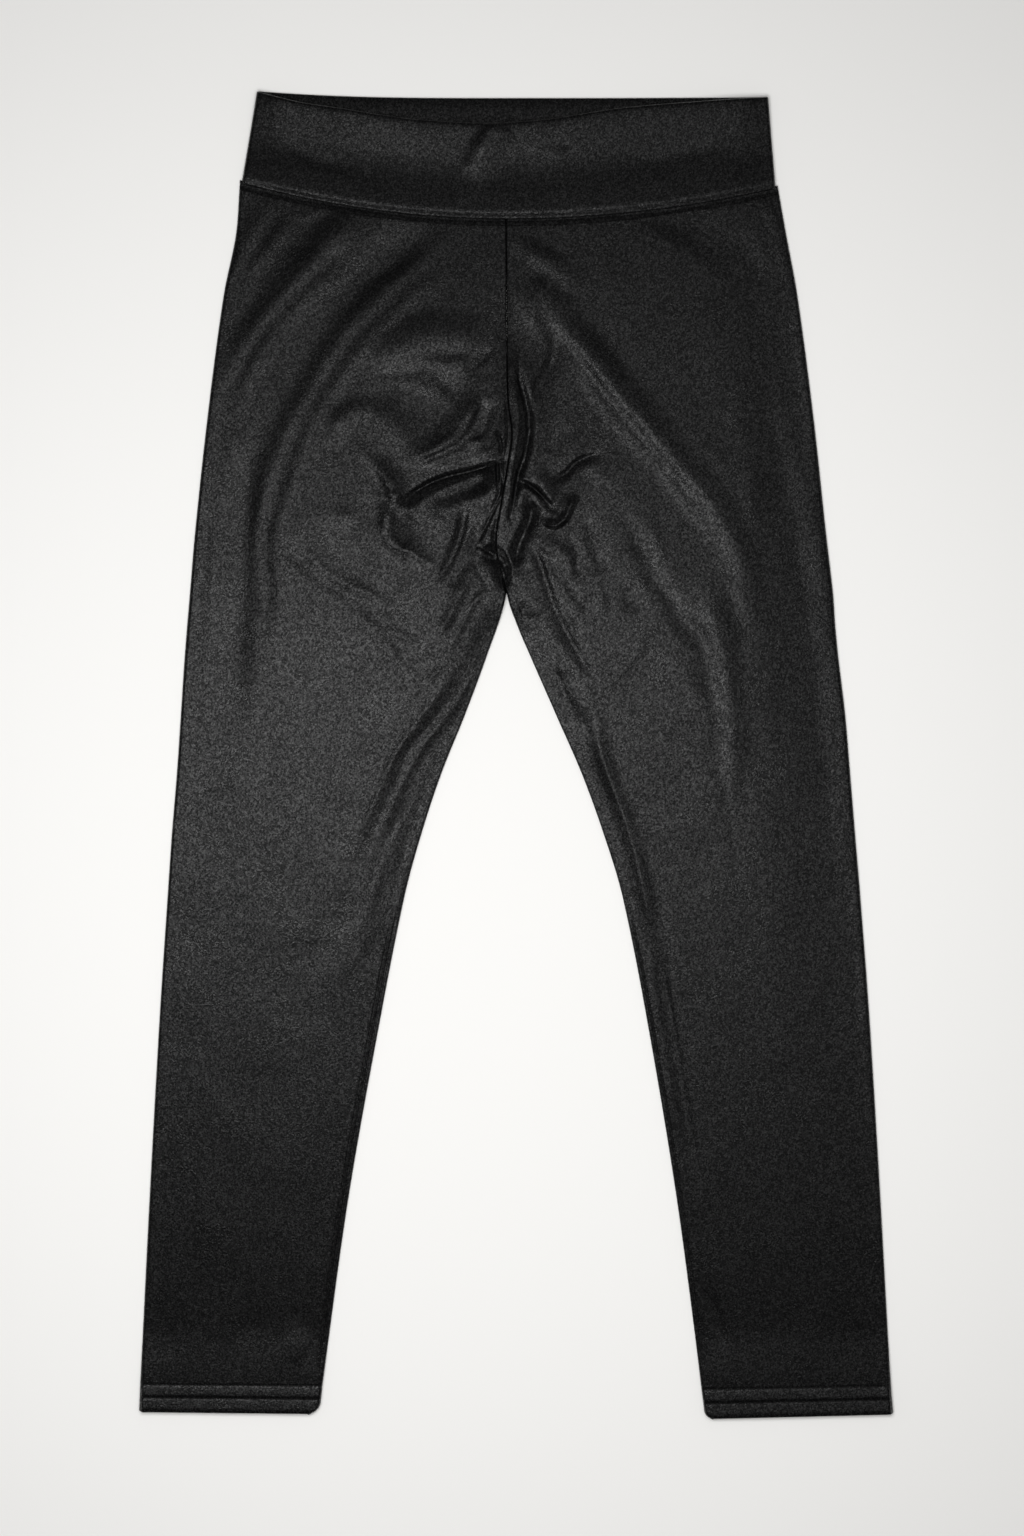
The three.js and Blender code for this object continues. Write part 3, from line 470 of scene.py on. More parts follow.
# %% The folds of the back
back_folds = [
    ([(-20, 300), (-70, 262), (-118, 214), (-150, 160)], 9, 12, 0.5, 0),
    ([(-16, 250), (-60, 214), (-104, 184)], 6, 8, 0.45, 0.2),
    ([(-14, 206), (-48, 176), (-84, 150), (-110, 112)], 6, 7, 0.5, 0.3),
    ([(-40, 120), (-66, 78), (-96, 30), (-118, -24)], 6, 8, 0.45, 0.2),
    ([(6, 300), (52, 258), (104, 212), (140, 160)], 12, 9, 0.5, 0),
    ([(4, 246), (44, 208), (92, 176)], 8, 6, 0.45, 0.2),
    ([(2, 202), (34, 170), (70, 146), (102, 104)], 7, 6, 0.5, 0.3),
    ([(24, 110), (52, 64), (80, 12), (104, -46)], 8, 6, 0.45, 0.2),
    ([(-232, -60), (-196, -64), (-140, -60)], 8, 9, 0.35, 0),
    ([(-216, -180), (-178, -184), (-136, -178)], 7, 8, 0.3, 0),
    ([(120, -52), (170, -58), (226, -54)], 8, 9, 0.35, 0),
    ([(130, -210), (176, -214), (236, -208)], 7, 8, 0.3, 0),
    ([(-190, 396), (-206, 352), (-216, 300)], 8, 7, 0.4, 0),
    ([(178, 392), (196, 346), (206, 296)], 7, 8, 0.4, 0),
]

# %% [markdown]
# ## From folds to a height
#
# A fold is read like a hill on a map. Its listed points become a smooth path, and the height
# of a spot depends on its distance from that path: full at the crest, nothing at the fold's width.
# The ends taper away, as a fold in cloth does.

# %% The height of one fold
taper = 0.22
end_height = 0.2


def smooth_path(points, step=2.5):
    """A smooth line through given points, as closely spaced points."""
    points = np.array(points, dtype=float)
    padded = np.vstack((2 * points[0] - points[1], points, 2 * points[-1] - points[-2]))
    line = []
    for before, start, end, after in zip(padded, padded[1:], padded[2:], padded[3:]):
        count = max(2, int(np.hypot(*(end - start)) / step))
        for t in np.arange(count) / count:
            bend = (2 * before - 5 * start + 4 * end - after) * t * t
            twist = (3 * start - before - 3 * end + after) * t**3
            line.append(start + 0.5 * ((end - before) * t + bend + twist))
    return np.array(line + [points[-1]])


def fold_height(x, y, fold):
    """The height that one fold adds at each place (x, y)."""
    path, left, right, rise, sharp = fold
    line = smooth_path(path)
    reach = max(left, right)
    low, high = line.min(axis=0) - reach, line.max(axis=0) + reach
    near = (x > low[0]) & (x < high[0]) & (y > low[1]) & (y < high[1])
    height = np.zeros_like(x)
    if not near.any():
        return height
    px, py = x[near], y[near]
    nearest = np.full(px.shape, np.inf)
    along = np.zeros(px.shape)
    side = np.ones(px.shape)
    stretches = len(line) - 1
    for k, (a, b) in enumerate(zip(line, line[1:])):
        dx, dy = b - a
        t = np.clip(((px - a[0]) * dx + (py - a[1]) * dy) / (dx * dx + dy * dy), 0, 1)
        off_x, off_y = px - a[0] - t * dx, py - a[1] - t * dy
        distance = np.hypot(off_x, off_y)
        closer = distance < nearest
        nearest = np.where(closer, distance, nearest)
        along = np.where(closer, (k + t) / stretches, along)
        side = np.where(closer, dx * off_y - dy * off_x, side)
    away = np.clip(nearest / np.where(side > 0, left, right), 0, 1)
    soft = (1 - away) ** 2 * (1 + 2 * away)
    crisp = (1 - away) ** 2
    ends = smooth(0, taper, along) * smooth(0, taper, 1 - along)
    rise = np.interp(along, (0, 0.5, 1), np.broadcast_to(rise, 3))
    height[near] = rise * mix(soft, crisp, sharp) * mix(end_height, 1, ends)
    return height


def folded(x, y, folds):
    return sum(fold_height(x, y, fold) for fold in folds)


# %% [markdown]
# Between its folds the cloth is never quite flat. A few long waves of different lengths and
# directions, added together, give it that slack look without any pattern that the eye can find.

# %% Slack between the folds
draw = np.random.RandomState(11)
wave_lengths = draw.uniform(24, 75, 14)
wave_turns = draw.uniform(0, math.pi, 14)
wave_starts = draw.uniform(0, 2 * math.pi, 14)
slack_rise = 0.0006


def slack(x, y):
    total = np.zeros_like(x)
    for length, turn, start in zip(wave_lengths, wave_turns, wave_starts):
        travel = x * math.cos(turn) + y * math.sin(turn)
        total += slack_rise * length * np.sin(2 * math.pi * travel / length + start)
    return total


# %% [markdown]
# ## Where the top layer lies
#
# The top layer rests on the bottom one at the edges and stands off it in the middle, where there is
# air between them. The folded side is a roll: a slight ridge runs just inside it. The hem has twice
# the layers and falls in two steps, where the rows of stitches pull the cloth down. The waist seam
# and the two inseams are grooves. A mark along an edge is its distance, its width and its rise, and
# a trough that would sink through the layer below stops softly on it.

# %% Relief of edges, seams and hems
lofts = [
    (424, 1.0), (400, 1.4), (330, 2.5), (250, 3.7), (190, 4.5), (118, 4.6), (40, 3.7), (-60, 2.6),
    (-200, 1.5), (-380, 0.7), (-466, 0.4), (-487, 0.4),
]
side_reach = 75
inseam_reach = 34
fold_margin = 9
sewing_reach = 30
hem_reach = 42
waist_dip = 2.3
press = 0.35
hem_rows = (11, 20.5)
hem_relief = [
    (-3, 1.5), (0, 1.6), (3, 1.7), (6, 1.4), (9.9, 0.9), (11, 0.62), (12.1, 0.95), (14, 0.95),
    (19.3, 0.25), (20.5, -0.1), (21.8, 0.05), (24, 0), (60, 0),
]
side_marks = [(3.5, 6, 0.45)]
inseam_marks = {
    "right": [(3.2, 1.1, -0.9), (4.6, 0.9, 0.45), (6.0, 1.1, -0.75)],
    "left": [(3.4, 1.3, -0.7)],
}
marks_end = (-150, -110)


def ridge(distance, width):
    """A smooth bump, 1 high at distance 0 and gone at width."""
    away = np.clip(np.abs(distance) / width, 0, 1)
    return (1 - away) ** 2 * (1 + 2 * away)


def marks(distance, rows):
    return sum(rise * ridge(distance - at, width) for at, width, rise in rows)


def hem_share(level):
    """1 in the doubled hem and 0 above it."""
    return 1 - smooth(hem_depth - 1, hem_depth + hem_reach, level - hem_level)


def front_height(side, x, y, level):
    """The height of the top layer's upper side over the floor."""
    from_side = np.abs(x - outline(side, "side", level))
    from_inseam = np.abs(x - outline(side, "inseam", level))
    below_waist = waist_line("front seam", x) - y
    sewn = smooth(crotch_y - sewing_reach, crotch_y, y)
    hem = hem_share(level)
    loft = curve(lofts, 1, level) * smooth(0, side_reach, from_side)
    loft = loft * mix(smooth(-8, inseam_reach, from_inseam), 1, sewn)
    roll = marks(from_side, side_marks)
    stitched = curve(hem_relief, 1, level - hem_level) * smooth(0, 2.5, from_side)
    inseam = (1 - smooth(*marks_end, y)) * marks(from_inseam, inseam_marks[side]) * (1 - hem)
    waist = -waist_dip * ridge(np.maximum(below_waist - 2, 0), 5)
    base = closed + 2 * cloth * hem + loft + roll + stitched + inseam + waist
    fade = smooth(0, fold_margin, from_side) * smooth(-2, fold_margin, below_waist)
    fade = fade * mix(smooth(-2, fold_margin, from_inseam), 1, sewn) * (1 - 0.6 * hem)
    lowest = closed - press + (2 * cloth - 0.75) * hem
    over = base + (folded(x, y, front_folds) + slack(x, y)) * fade - lowest
    return lowest + 0.5 * (over + np.sqrt(over * over + 0.3))


def back_height(side, x, y, level):
    """How far the bottom layer lifts off the floor."""
    fade = smooth(4, 16, np.abs(x - outline(side, "side", level))) * (1 - hem_share(level))
    return np.clip(folded(x, y, back_folds), 0, 0.6) * fade


# %% [markdown]
# ## A leg
#
# A leg could be modelled as a box pushed into shape, or as two flat sheets sewn together. Here it
# is what the sewer makes: one grid of cloth wrapped into a flat tube. The grid's columns run along
# the back from the inseam, round the folded side and back along the front. Its rows run from the
# raw edge inside the hem, down and round the hem's fold, and up the outside to the waist. Columns
# are closer together near the middle of the garment, where the folds are smallest.

# %% Rows and columns of a leg's grid
def spaced(start, stop, step):
    """Evenly spaced values from start up to, but not with, stop."""
    count = max(1, round(abs(stop - start) / step))
    return start + (stop - start) * np.arange(count) / count


turn_radius = cloth + 0.025
hem_corners = {"right": (1.5, 8.5), "left": (1.5, 5.5)}
turn = np.linspace(math.pi, 0, 8)


def leg_rows(side):
    """Each row's level up the leg, and how far inside the outer face it lies."""
    waist = waist_sides[side]["seam"][1]
    inner = spaced(hem_level + hem_depth - 1, hem_level + turn_radius + 0.5, 4.5)
    rounded = hem_level + turn_radius * (1 - np.sin(turn))
    stops = [
        (hem_level + turn_radius + 0.5, 0.85), (-461, 1.8), (-452, 6.5), (-120, 3.3), (58, 2),
        (104, 1.15), (crotch_y, 1.25), (252, 2), (300, 3.1), (waist - 8, 1.1), (waist, None),
    ]
    outer = [spaced(a[0], b[0], a[1]) for a, b in zip(stops, stops[1:])]
    levels = np.concatenate([inner, rounded, *outer, [waist]])
    inset = np.zeros(len(levels))
    inset[: len(inner)] = 2 * turn_radius
    inset[len(inner) : len(inner) + len(turn)] = turn_radius * (1 - np.cos(turn))
    return levels[:, None], inset[:, None]


def front_shares():
    """Places across the front, from the inner edge at 0 to the side at 1, closest near the edge."""
    fine, widening, wide = np.full(38, 1.4), np.linspace(1.6, 3, 8), np.full(44, 3.0)
    steps = np.concatenate([fine, widening, wide, [2.4, 1.8, 1.3]])
    return np.concatenate([[0], np.cumsum(steps)]) / steps.sum()


edge_spacing = np.array([0.6, 1.2, 1.8, 2.4, 3.0, 3.6, 4.2, 4.8, 5.5, 6.3, 7.2, 8.2])
back_count = 15
side_turns = np.linspace(-90, 90, 9)[1:-1] * math.pi / 180
edge_turns = np.linspace(0, 1, 5)
waist_reach = 90
opening_reach = 14
seam_roll = 1.2
seam_drops = {"front": 0.8, "back": 0.6}


def rounded_corner(side, level):
    """How far the hem's corners are cut in, at the folded side and at the inseam."""
    cuts = []
    for radius in hem_corners[side]:
        up = np.clip((level - hem_level) / radius, 0, 1)
        cuts.append(radius * (1 - np.sqrt(1 - (1 - up) ** 2)))
    return cuts


# %% Shape the grid into a leg
def leg_points(side):
    """Every point of the leg's grid, rows by columns, in millimetres."""
    out = outward[side]
    level, inset = leg_rows(side)
    waist = waist_sides[side]["seam"][1]
    bend_top = smooth(waist - waist_reach, waist, level)
    side_cut, inner_cut = rounded_corner(side, level)
    flat_inner = outline(side, "inseam", level)
    radius = closed / 2 + cloth * hem_share(level)
    open_above = smooth(0, opening_reach, level - crotch_y)

    def up(x, line):
        return level + bend_top * (waist_line(line, x) - waist) + hem_shift(side, x, level)

    half_gap = out * seam_gap / 2
    sewn = level > crotch_y
    seam_x = curve(front_seam, 1, up(np.full_like(level, centre_x), "front seam")) + half_gap
    front_edge = np.where(sewn, seam_x, flat_inner + out * inner_cut)
    back_edge = np.where(sewn, centre_x + half_gap, flat_inner + out * inner_cut)
    roll_in = mix(radius, seam_roll, open_above)
    fold_x = outline(side, "side", level) - out * (side_cut + radius)

    shares = front_shares()
    front_start = front_edge + out * (roll_in + edge_spacing[-1])
    front_x = front_start + (fold_x - front_start) * shares[None, ::-1]
    near_x = front_edge + out * (roll_in + edge_spacing[None, ::-1])
    flat_x = np.hstack([front_x[:, :-1], near_x, front_edge + out * roll_in])
    flat_y = up(flat_x, "front seam")
    levels = np.broadcast_to(level, flat_x.shape)
    flat_z = front_height(side, flat_x, flat_y, levels) - inset
    edge_z = flat_z[:, -1:]

    top = edge_z + inset
    front_drop = mix(top / 2 - inset, seam_drops["front"], open_above)
    back_drop = mix(top / 2 - inset, seam_drops["back"], open_above)
    reach = roll_in - np.minimum(inset, roll_in - 0.1) * (1 - open_above)
    lean = edge_turns[None, 1:] * math.pi / 2
    turn_x = front_edge + out * (roll_in - reach * np.sin(lean))
    turn_z = edge_z - front_drop * (1 - np.cos(lean))
    turn_y = up(turn_x, "front seam")

    lean = lean[:, ::-1]
    start_x = back_edge + out * (roll_in - reach * np.sin(lean))
    start_z = inset + back_drop * (1 - np.cos(lean))
    start_y = up(start_x, "back seam")
    back_x = mix(back_edge + out * roll_in, fold_x, np.linspace(0, 1, back_count)[None, :])
    back_y = up(back_x, "back seam")
    back_z = inset + back_height(side, back_x, back_y, np.broadcast_to(level, back_x.shape))

    angle = side_turns[None, :]
    arc_x = fold_x + out * (radius - inset) * np.cos(angle)
    arc_y = mix(up(arc_x, "back seam"), up(arc_x, "front seam"), (1 + np.sin(angle)) / 2)
    arc_z = radius + (radius - inset) * np.sin(angle)

    xs = np.hstack([start_x, back_x, arc_x, flat_x, turn_x])
    ys = np.hstack([start_y, back_y, arc_y, flat_y, turn_y])
    zs = np.hstack([start_z, back_z, arc_z, flat_z, turn_z])
    return np.stack([xs, ys, zs], axis=2), level[:, 0] <= crotch_y


# %% [markdown]
# ## A grid becomes cloth
#
# create_grid makes the flat piece of cloth, its points are moved to their places, and points that
# are sewn together are merged. The faces of the result must point outwards before a Solidify
# modifier gives the sheet its thickness, or the cloth would grow out instead of in.

# %% Make a sheet of cloth from a grid of points
def shaped_grid(points, sewn):
    """A bmesh grid moved to its points, in metres, with the pairs of points in sewn merged."""
    rows, columns = points.shape[:2]
    shape = bmesh.new()
    bmesh.ops.create_grid(shape, x_segments=columns - 1, y_segments=rows - 1, size=1)
    shape.verts.ensure_lookup_table()
    for vertex, place in zip(shape.verts, points.reshape(-1, 3) * mm):
        vertex.co = place
    pairs = {shape.verts[a]: shape.verts[b] for a, b in sewn}
    bmesh.ops.weld_verts(shape, targetmap=pairs)
    return shape


def face_out(shape, upward):
    """Turn the faces so that those chosen as the top look up."""
    shape.normal_update()
    facing = sum(face.normal.z for face in shape.faces if upward(face.calc_center_median()))
    if facing < 0:
        bmesh.ops.reverse_faces(shape, faces=shape.faces[:])


def finish_mesh(name, shape):
    mesh = bpy.data.meshes.new(name)
    shape.to_mesh(mesh)
    shape.free()
    mesh.polygons.foreach_set("use_smooth", [True] * len(mesh.polygons))
    return link(name, mesh)


def laid_area(points, rows):
    """The area of the cloth in some rows of a grid, in square metres."""
    part = points[rows] * mm
    across = part[:-1, 1:] - part[:-1, :-1]
    along = part[1:, :-1] - part[:-1, :-1]
    return float(np.linalg.norm(np.cross(across, along), axis=2).sum())


def make_leg(side):
    points, tube_rows = leg_points(side)
    rows, columns = points.shape[:2]
    sewn = [(k * columns + columns - 1, k * columns) for k in range(rows) if tube_rows[k]]
    shape = shaped_grid(points, sewn)
    face_out(shape, lambda centre: centre.z > 1.5 * closed * mm)
    leg = finish_mesh(f"{side}_leg_cloth", shape)
    shell = leg.modifiers.new("thickness", "SOLIDIFY")
    shell.thickness = cloth * mm
    shell.offset = -1
    area = laid_area(points, slice(0, rows))
    triangles = 4 * len(leg.data.polygons)
    print(f"{leg.name}: {rows} rows of {columns}, {triangles} triangles, {area:.3f} m2")
    return leg, area


legs = {side: make_leg(side) for side in ("right", "left")}

# %% [markdown]
# ## The waistband
#
# The band is a loop of doubled cloth. Its lower edge is rolled by the seam into a lip that stands
# over the legs, and above it the cloth sinks and rises again towards the top. The back of the band
# stands taller, so its inside shows above the front's edge. A closed outline swept round the waist
# makes both layers and both rolled edges at once.

# %% Relief of the band
band_relief = [
    (0, 0), (1, 0.95), (2.5, 1.36), (4, 1.5), (6.5, 1.42), (16, 0.95), (24, 0.45), (30, 0.3),
    (36, 0.5), (42, 1.05), (48, 1.8), (56, 2.85), (62, 3.6), (66, 3.9), (68, 3.6),
]
band_folds = [
    ([(-10, 469), (-19, 457), (-27, 445), (-33, 434), (-38, 424)], 22, 12, (2.3, 2.3, 1.1), 0.1),
    ([(16, 446), (26, 445), (36, 443)], 4, 5, 0.3, 0.2),
    ([(28, 452), (35, 450), (42, 449)], 5, 5, -0.3, 0.2),
    ([(167, 440), (173, 434), (179, 427)], 3, 4, -0.3, 0.3),
    ([(174, 448), (181, 440), (188, 430)], 3, 4, -0.3, 0.3),
    ([(-172, 452), (-152, 440), (-120, 431)], 9, 8, -0.4, 0),
    ([(84, 436), (120, 442), (150, 450)], 9, 9, -0.4, 0),
]
band_closed = 2 * closed - air
lip_overhang = 2.0
band_inset = 1.8
front_columns = 190
back_columns = 60
lip_rows = np.linspace(0, 0.2, 11)
wall_rows = np.concatenate([lip_rows, np.linspace(0.2, 0.93, 25)[1:], [0.955, 0.98, 1]])


def band_height(x, y, from_side):
    """The height of the band's front over the floor."""
    seam, top = waist_line("front seam", x), waist_line("front top", x)
    table_height = band_relief[-1][0]
    relief = curve(band_relief, 1, table_height * (y - seam) / (top - seam))
    relief = relief * mix(0.5, 1, smooth(0, 24, from_side))
    creases = (folded(x, y, band_folds) + 0.7 * slack(x, y)) * smooth(0, 10, from_side)
    return band_closed + relief + creases


# %% Sweep the band's outline round the waist
def band_rows():
    """The doubled cloth's closed outline: share of the height, step beyond it, depth inside."""
    outer, inner = np.zeros_like(wall_rows), np.linspace(1, 0, 9)
    over = np.linspace(0, math.pi, 8)[1:-1]
    share = np.concatenate([wall_rows, np.ones_like(over), inner, np.zeros_like(over)])
    step = np.concatenate([outer, np.sin(over), 0 * inner, -np.sin(over)])
    depth = np.concatenate([outer, 1 - np.cos(over), 2 + 0 * inner, 1 + np.cos(over)])
    return share[:, None], step[:, None] * cloth, depth[:, None] * cloth


def band_points():
    share, step, depth = band_rows()
    radius = band_closed / 2
    end = {}
    for side, out in outward.items():
        seam, top = waist_sides[side]["seam"], waist_sides[side]["top"]
        end[side] = mix(seam[0] - out * band_inset, top[0], share)

    def up(x, face):
        bottom = waist_line(f"{face} seam", x) + (seam_gap if face == "back" else -lip_overhang)
        top = waist_line(f"{face} top", x)
        return mix(bottom + cloth, top - cloth, share) + step

    first, last = end["right"] + radius, end["left"] - radius
    front_x = mix(first, last, np.linspace(0, 1, front_columns)[None, :])
    back_x = mix(last, first, np.linspace(0, 1, back_columns)[None, :])
    front_y, back_y = up(front_x, "front"), up(back_x, "back")
    from_side = np.minimum(front_x - end["right"], end["left"] - front_x)
    front_z = band_height(front_x, front_y, from_side) - depth
    angle = side_turns[None, ::-1]
    arcs = {}
    for side, turned, edge in (("left", angle, -1), ("right", angle[:, ::-1], 0)):
        x = end[side] + outward[side] * ((radius - depth) * np.cos(turned) - radius)
        y = mix(up(x, "back"), up(x, "front"), (1 + np.sin(turned)) / 2)
        middle = (front_z[:, edge, None] + depth) / 2
        arcs[side] = (x, y, middle + (middle - depth) * np.sin(turned))
    back_z = depth + 0 * back_x
    parts = [(front_x, front_y, front_z), arcs["left"], (back_x, back_y, back_z), arcs["right"]]
    return np.stack([np.hstack([part[k] for part in parts]) for k in range(3)], axis=2)


def make_band():
    points = band_points()
    points = np.concatenate([points, points[:1]], axis=0)
    points = np.concatenate([points, points[:, :1]], axis=1)
    rows, columns = points.shape[:2]
    sewn = [(k * columns + columns - 1, k * columns) for k in range(rows - 1)]
    sewn += [((rows - 1) * columns + k, k) for k in range(columns - 1)]
    sewn.append((rows * columns - 1, 0))
    shape = shaped_grid(points, sewn)
    bmesh.ops.recalc_face_normals(shape, faces=shape.faces[:])
    band = finish_mesh("waistband_cloth", shape)
    area = laid_area(points, slice(0, len(wall_rows) + 1))
    print(f"{band.name}: {2 * len(band.data.polygons)} triangles, {area:.3f} m2 outside")
    return band


band = make_band()

# %% [markdown]
# ## Stitches
#
# The hems are sewn down with two rows of stitches, front and back, and the left inseam shows one
# row more. Thread could be painted as a line in the material, but a real stitch is a short raised
# bar with a gap before the next one, so each is a small stretched sphere.

# %% Lay rows of stitches
stitch_pitch = 3.6
stitch_size = (1.2, 0.5, 0.3)
thread_lift = 0.05


def leg_line(side, level, from_edge, edge, face):
    """Points on a leg's front or back, some way in from one of its edges."""
    level, from_edge = np.broadcast_arrays(np.atleast_1d(level).astype(float), from_edge)
    inward = -outward[side] if edge == "side" else outward[side]
    x = outline(side, edge, level) + inward * from_edge
    y = level + hem_shift(side, x, level)
    z = 0 * x if face == "back" else front_height(side, x, y, level) + thread_lift
    return np.stack([x, y, z], axis=1)


def lay_stitches(shape, line):
    """Stitches end to end along a line of points, one every pitch."""
    lengths = np.concatenate([[0], np.cumsum(np.linalg.norm(np.diff(line, axis=0), axis=1))])
    starts = np.arange(stitch_pitch / 2, lengths[-1], stitch_pitch)
    for start in starts:
        ends = [start - 0.4, start + 0.4]
        a, b = (np.array([np.interp(s, lengths, line[:, k]) for k in range(3)]) for s in ends)
        middle, travel = (a + b) / 2, b - a
        turned = Euler((0, 0, math.atan2(travel[1], travel[0]))).to_matrix().to_4x4()
        place = Matrix.Translation(Vector(middle * mm)) @ turned
        size = Matrix.Diagonal((*(np.array(stitch_size) * mm), 1))
        bmesh.ops.create_uvsphere(shape, u_segments=6, v_segments=5, radius=1, matrix=place @ size)
    return len(starts)


def make_stitches(side):
    shape = bmesh.new()
    count = 0
    for face in ("front", "back"):
        for up in hem_rows:
            level = hem_level + up
            width = abs(outline(side, "side", level) - outline(side, "inseam", level))
            across = np.arange(2.5, width - 2.5, 1.2)
            count += lay_stitches(shape, leg_line(side, level, across, "side", face))
    if side == "left":
        levels = np.arange(hem_level + hem_depth + 6, -118, 2.0)
        groove = inseam_marks["left"][0][0]
        count += lay_stitches(shape, leg_line(side, levels, groove, "inseam", "front"))
    stitches = finish_mesh(f"{side}_hem_stitches", shape)
    print(f"{stitches.name}: {count} stitches")
    return stitches


stitches = {side: make_stitches(side) for side in ("right", "left")}

# %% [markdown]
# ## Nodes as sums
#
# A material is a graph of nodes, and its sums are easier to read as sums. The small class below
# wraps a node's output, so that adding or multiplying it adds the Math node for it.

# %% A small language for materials
class Wire:
    """A number that runs through a material, which can be added to and multiplied."""

    def __init__(self, finish, socket):
        self.finish = finish
        self.socket = socket

    def sum_of(self, operation, first, second):
        return self.finish.add("ShaderNodeMath", {"operation": operation}, {0: first, 1: second})

    def __add__(self, other):
        return self.sum_of("ADD", self, other)

    def __sub__(self, other):
        return self.sum_of("SUBTRACT", self, other)

    def __mul__(self, other):
        return self.sum_of("MULTIPLY", self, other)

    __radd__ = __add__


class Finish:
    """A material under construction."""

    def __init__(self, name):
        self.material = bpy.data.materials.new(name)
        self.material.use_nodes = True
        self.tree = self.material.node_tree
        self.tree.nodes.clear()

    def add(self, kind, settings, values, output=0):
        """One node: its settings first, then its sockets' values or wires."""
        node = self.tree.nodes.new(kind)
        for key, value in settings.items():
            setattr(node, key, value)
        for key, value in values.items():
            if isinstance(value, Wire):
                self.tree.links.new(value.socket, node.inputs[key])
            else:
                node.inputs[key].default_value = value
        return Wire(self, node.outputs[output]) if node.outputs else None


# %% [markdown]
# ## Coated black knit
#
# The cloth is a black knit with a thin glossy coating, which gives the wet look. Seen close, the
# coating is broken into specks about a millimetre across, which mirror strongly or weakly, over
# shallow pebbles. The colour is almost black everywhere and the light on it is all gloss, so the
# specks are a mix of a bright and a faint mirror, and the pebbles are a bump. A pattern on Object
# coordinates keeps its true size.

# %% The cloth's finish
speck_size = 1.05
pebble_size = 1.2
patch_size = 38
coat_black = (0.0012, 0.0012, 0.0013, 1)
thread_black = (0.004, 0.004, 0.004, 1)


def surface(finish, tint, rough, bump, mirror=0.5, ior=1.5):
    values = {"Base Color": tint, "Roughness": rough, "Normal": bump}
    values.update({"IOR": ior, "Specular IOR Level": mirror})
    return finish.add("ShaderNodeBsdfPrincipled", {}, values)


def set_output(finish, shader):
    finish.add("ShaderNodeOutputMaterial", {}, {"Surface": shader})
    return finish.material


def texture(finish, kind, size, output=0, **values):
    """A pattern on Object coordinates whose cells are a size in millimetres across."""
    place = finish.add("ShaderNodeTexCoord", {}, {}, "Object")
    return finish.add(kind, {}, {"Vector": place, "Scale": 1 / (size * mm), **values}, output)


def raised(finish, pattern, rise):
    """A bump that lifts a pattern by a rise in millimetres."""
    values = {"Strength": 1.0, "Distance": rise * mm, "Height": pattern}
    return finish.add("ShaderNodeBump", {}, values)


def coated_knit(name, gloss, bright, faint, relief):
    finish = Finish(name)
    specks = texture(finish, "ShaderNodeTexVoronoi", speck_size, 1)
    pebbles = texture(finish, "ShaderNodeTexNoise", pebble_size, Detail=2.0)
    patches = texture(finish, "ShaderNodeTexNoise", patch_size, Detail=3.0)
    bump = raised(finish, pebbles, relief)
    shine = specks * specks * 1.1 + (pebbles - 0.5) * 1.1
    rough = gloss + (patches - 0.5) * 0.08
    glossy = surface(finish, coat_black, rough, bump, bright, 1.6)
    dull = surface(finish, coat_black, rough + 0.06, bump, faint)
    return set_output(finish, finish.add("ShaderNodeMixShader", {}, {0: shine, 1: dull, 2: glossy}))


leg_finish = coated_knit("leg_cloth", gloss=0.28, bright=1.0, faint=0.24, relief=0.22)
band_finish = coated_knit("band_cloth", gloss=0.31, bright=0.85, faint=0.22, relief=0.2)


def thread_finish():
    """Twisted black thread: fine plies, and duller than the cloth round it."""
    finish = Finish("thread")
    plies = texture(finish, "ShaderNodeTexNoise", 0.3, Detail=1.0)
    bump = raised(finish, plies, 0.06)
    return set_output(finish, surface(finish, thread_black, 0.55 + plies * 0.1, bump))


thread = thread_finish()

# %% [markdown]
# ## Floor and light
#
# The leggings lie on a plain pale surface. Black cloth shows its shape only through gloss, so one
# soft lamp stands where its reflection runs down the wearer's right thigh. A wide, dim ceiling
# gives the rest a faint sheen, and four cards round the sides do so when the cloth is seen from
# low down. The wash and the world's light brighten the floor. Glossy rays see neither of them, or
# the whole garment would turn grey.

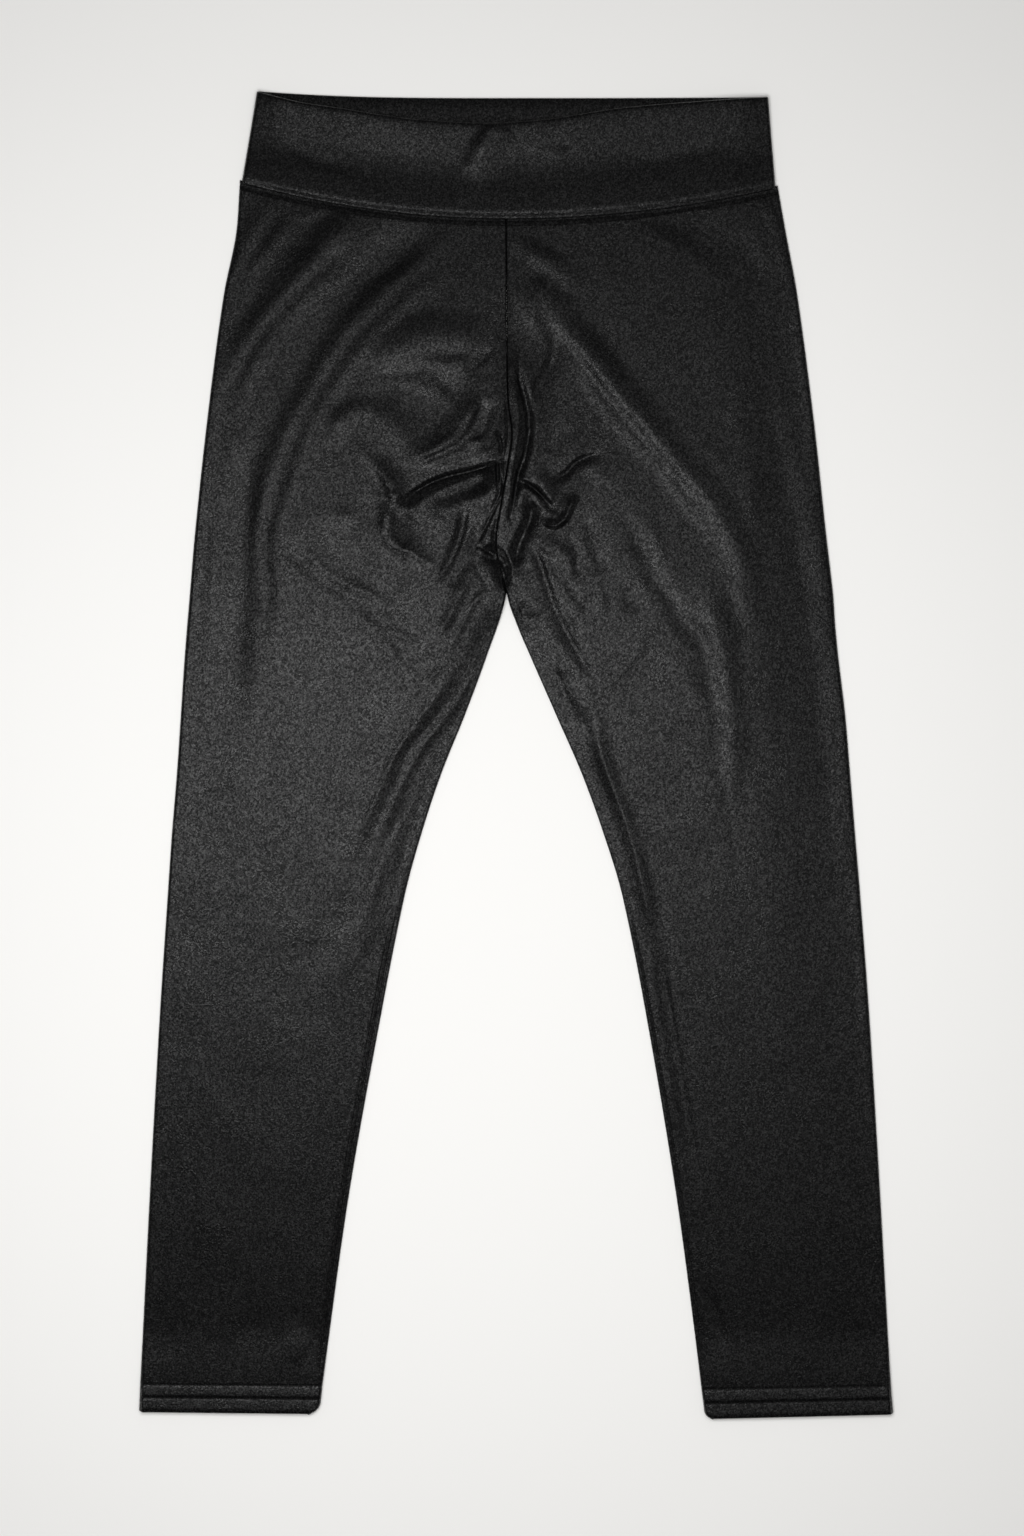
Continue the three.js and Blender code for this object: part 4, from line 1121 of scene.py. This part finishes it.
# %% The floor
def make_floor():
    shape = bmesh.new()
    bmesh.ops.create_grid(shape, x_segments=8, y_segments=8, size=4)
    bmesh.ops.translate(shape, verts=shape.verts[:], vec=(0, 0, -0.3 * mm))
    floor = finish_mesh("floor", shape)
    finish = Finish("pale_floor")
    grain = texture(finish, "ShaderNodeTexNoise", 1000 / 60, Detail=4.0)
    paint = surface(finish, (0.83, 0.825, 0.81, 1), 0.85 + grain * 0.1, raised(finish, grain, 0.02))
    floor.data.materials.append(set_output(finish, paint))


make_floor()

# %% The lamps
def lamp(name, place, target, width, depth, power, glossy=True, diffuse=True):
    """A soft rectangular lamp that looks at its target, in metres and watts."""
    data = bpy.data.lights.new(name, "AREA")
    data.shape = "RECTANGLE"
    data.size = width
    data.size_y = depth
    data.energy = power
    light = link(name, data)
    light.location = place
    light.rotation_euler = (Vector(target) - Vector(place)).to_track_quat("-Z", "Y").to_euler()
    light.visible_glossy = glossy
    light.visible_diffuse = diffuse


lamp("key", (-0.29, 0.04, 1.3), (-0.29, 0.04, 0), 1.02, 0.3, 2.35)
lamp("ceiling", (0.16, 0.13, 1.3), (0.16, 0.13, 0), 1.5, 1.5, 1.85)
lamp("wash", (-0.12, -0.1, 1.35), (-0.12, -0.1, 0), 0.9, 0.9, 16.8, glossy=False)
cards = {"left": (-2, 0), "right": (2, 0), "far": (0, 2), "near": (0, -2)}
for name, place in cards.items():
    lamp(f"{name}_card", (*place, 0.8), (0, 0, 0.1), 2.6, 1.6, 2, diffuse=False)

world = bpy.data.worlds.new("studio")
bpy.context.scene.world = world
world.use_nodes = True
sky = world.node_tree.nodes["Background"].inputs
sky["Color"].default_value = (1, 0.99, 0.975, 1)
sky["Strength"].default_value = 0.205
world.cycles_visibility.glossy = False
bpy.context.scene.view_settings.view_transform = "Standard"

# %% [markdown]
# ## Attach each piece
#
# Every piece moves with the one rigid body, root. The cloth pieces replace the CAD solids to the
# eye and take their finishes.

for side, (leg, area) in legs.items():
    leg.data.materials.append(leg_finish)
    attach(leg, "root")
    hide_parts(f"{side}_leg")
    stitches[side].data.materials.append(thread)
    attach(stitches[side], "root")

band.data.materials.append(band_finish)
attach(band, "root")
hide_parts("waistband")
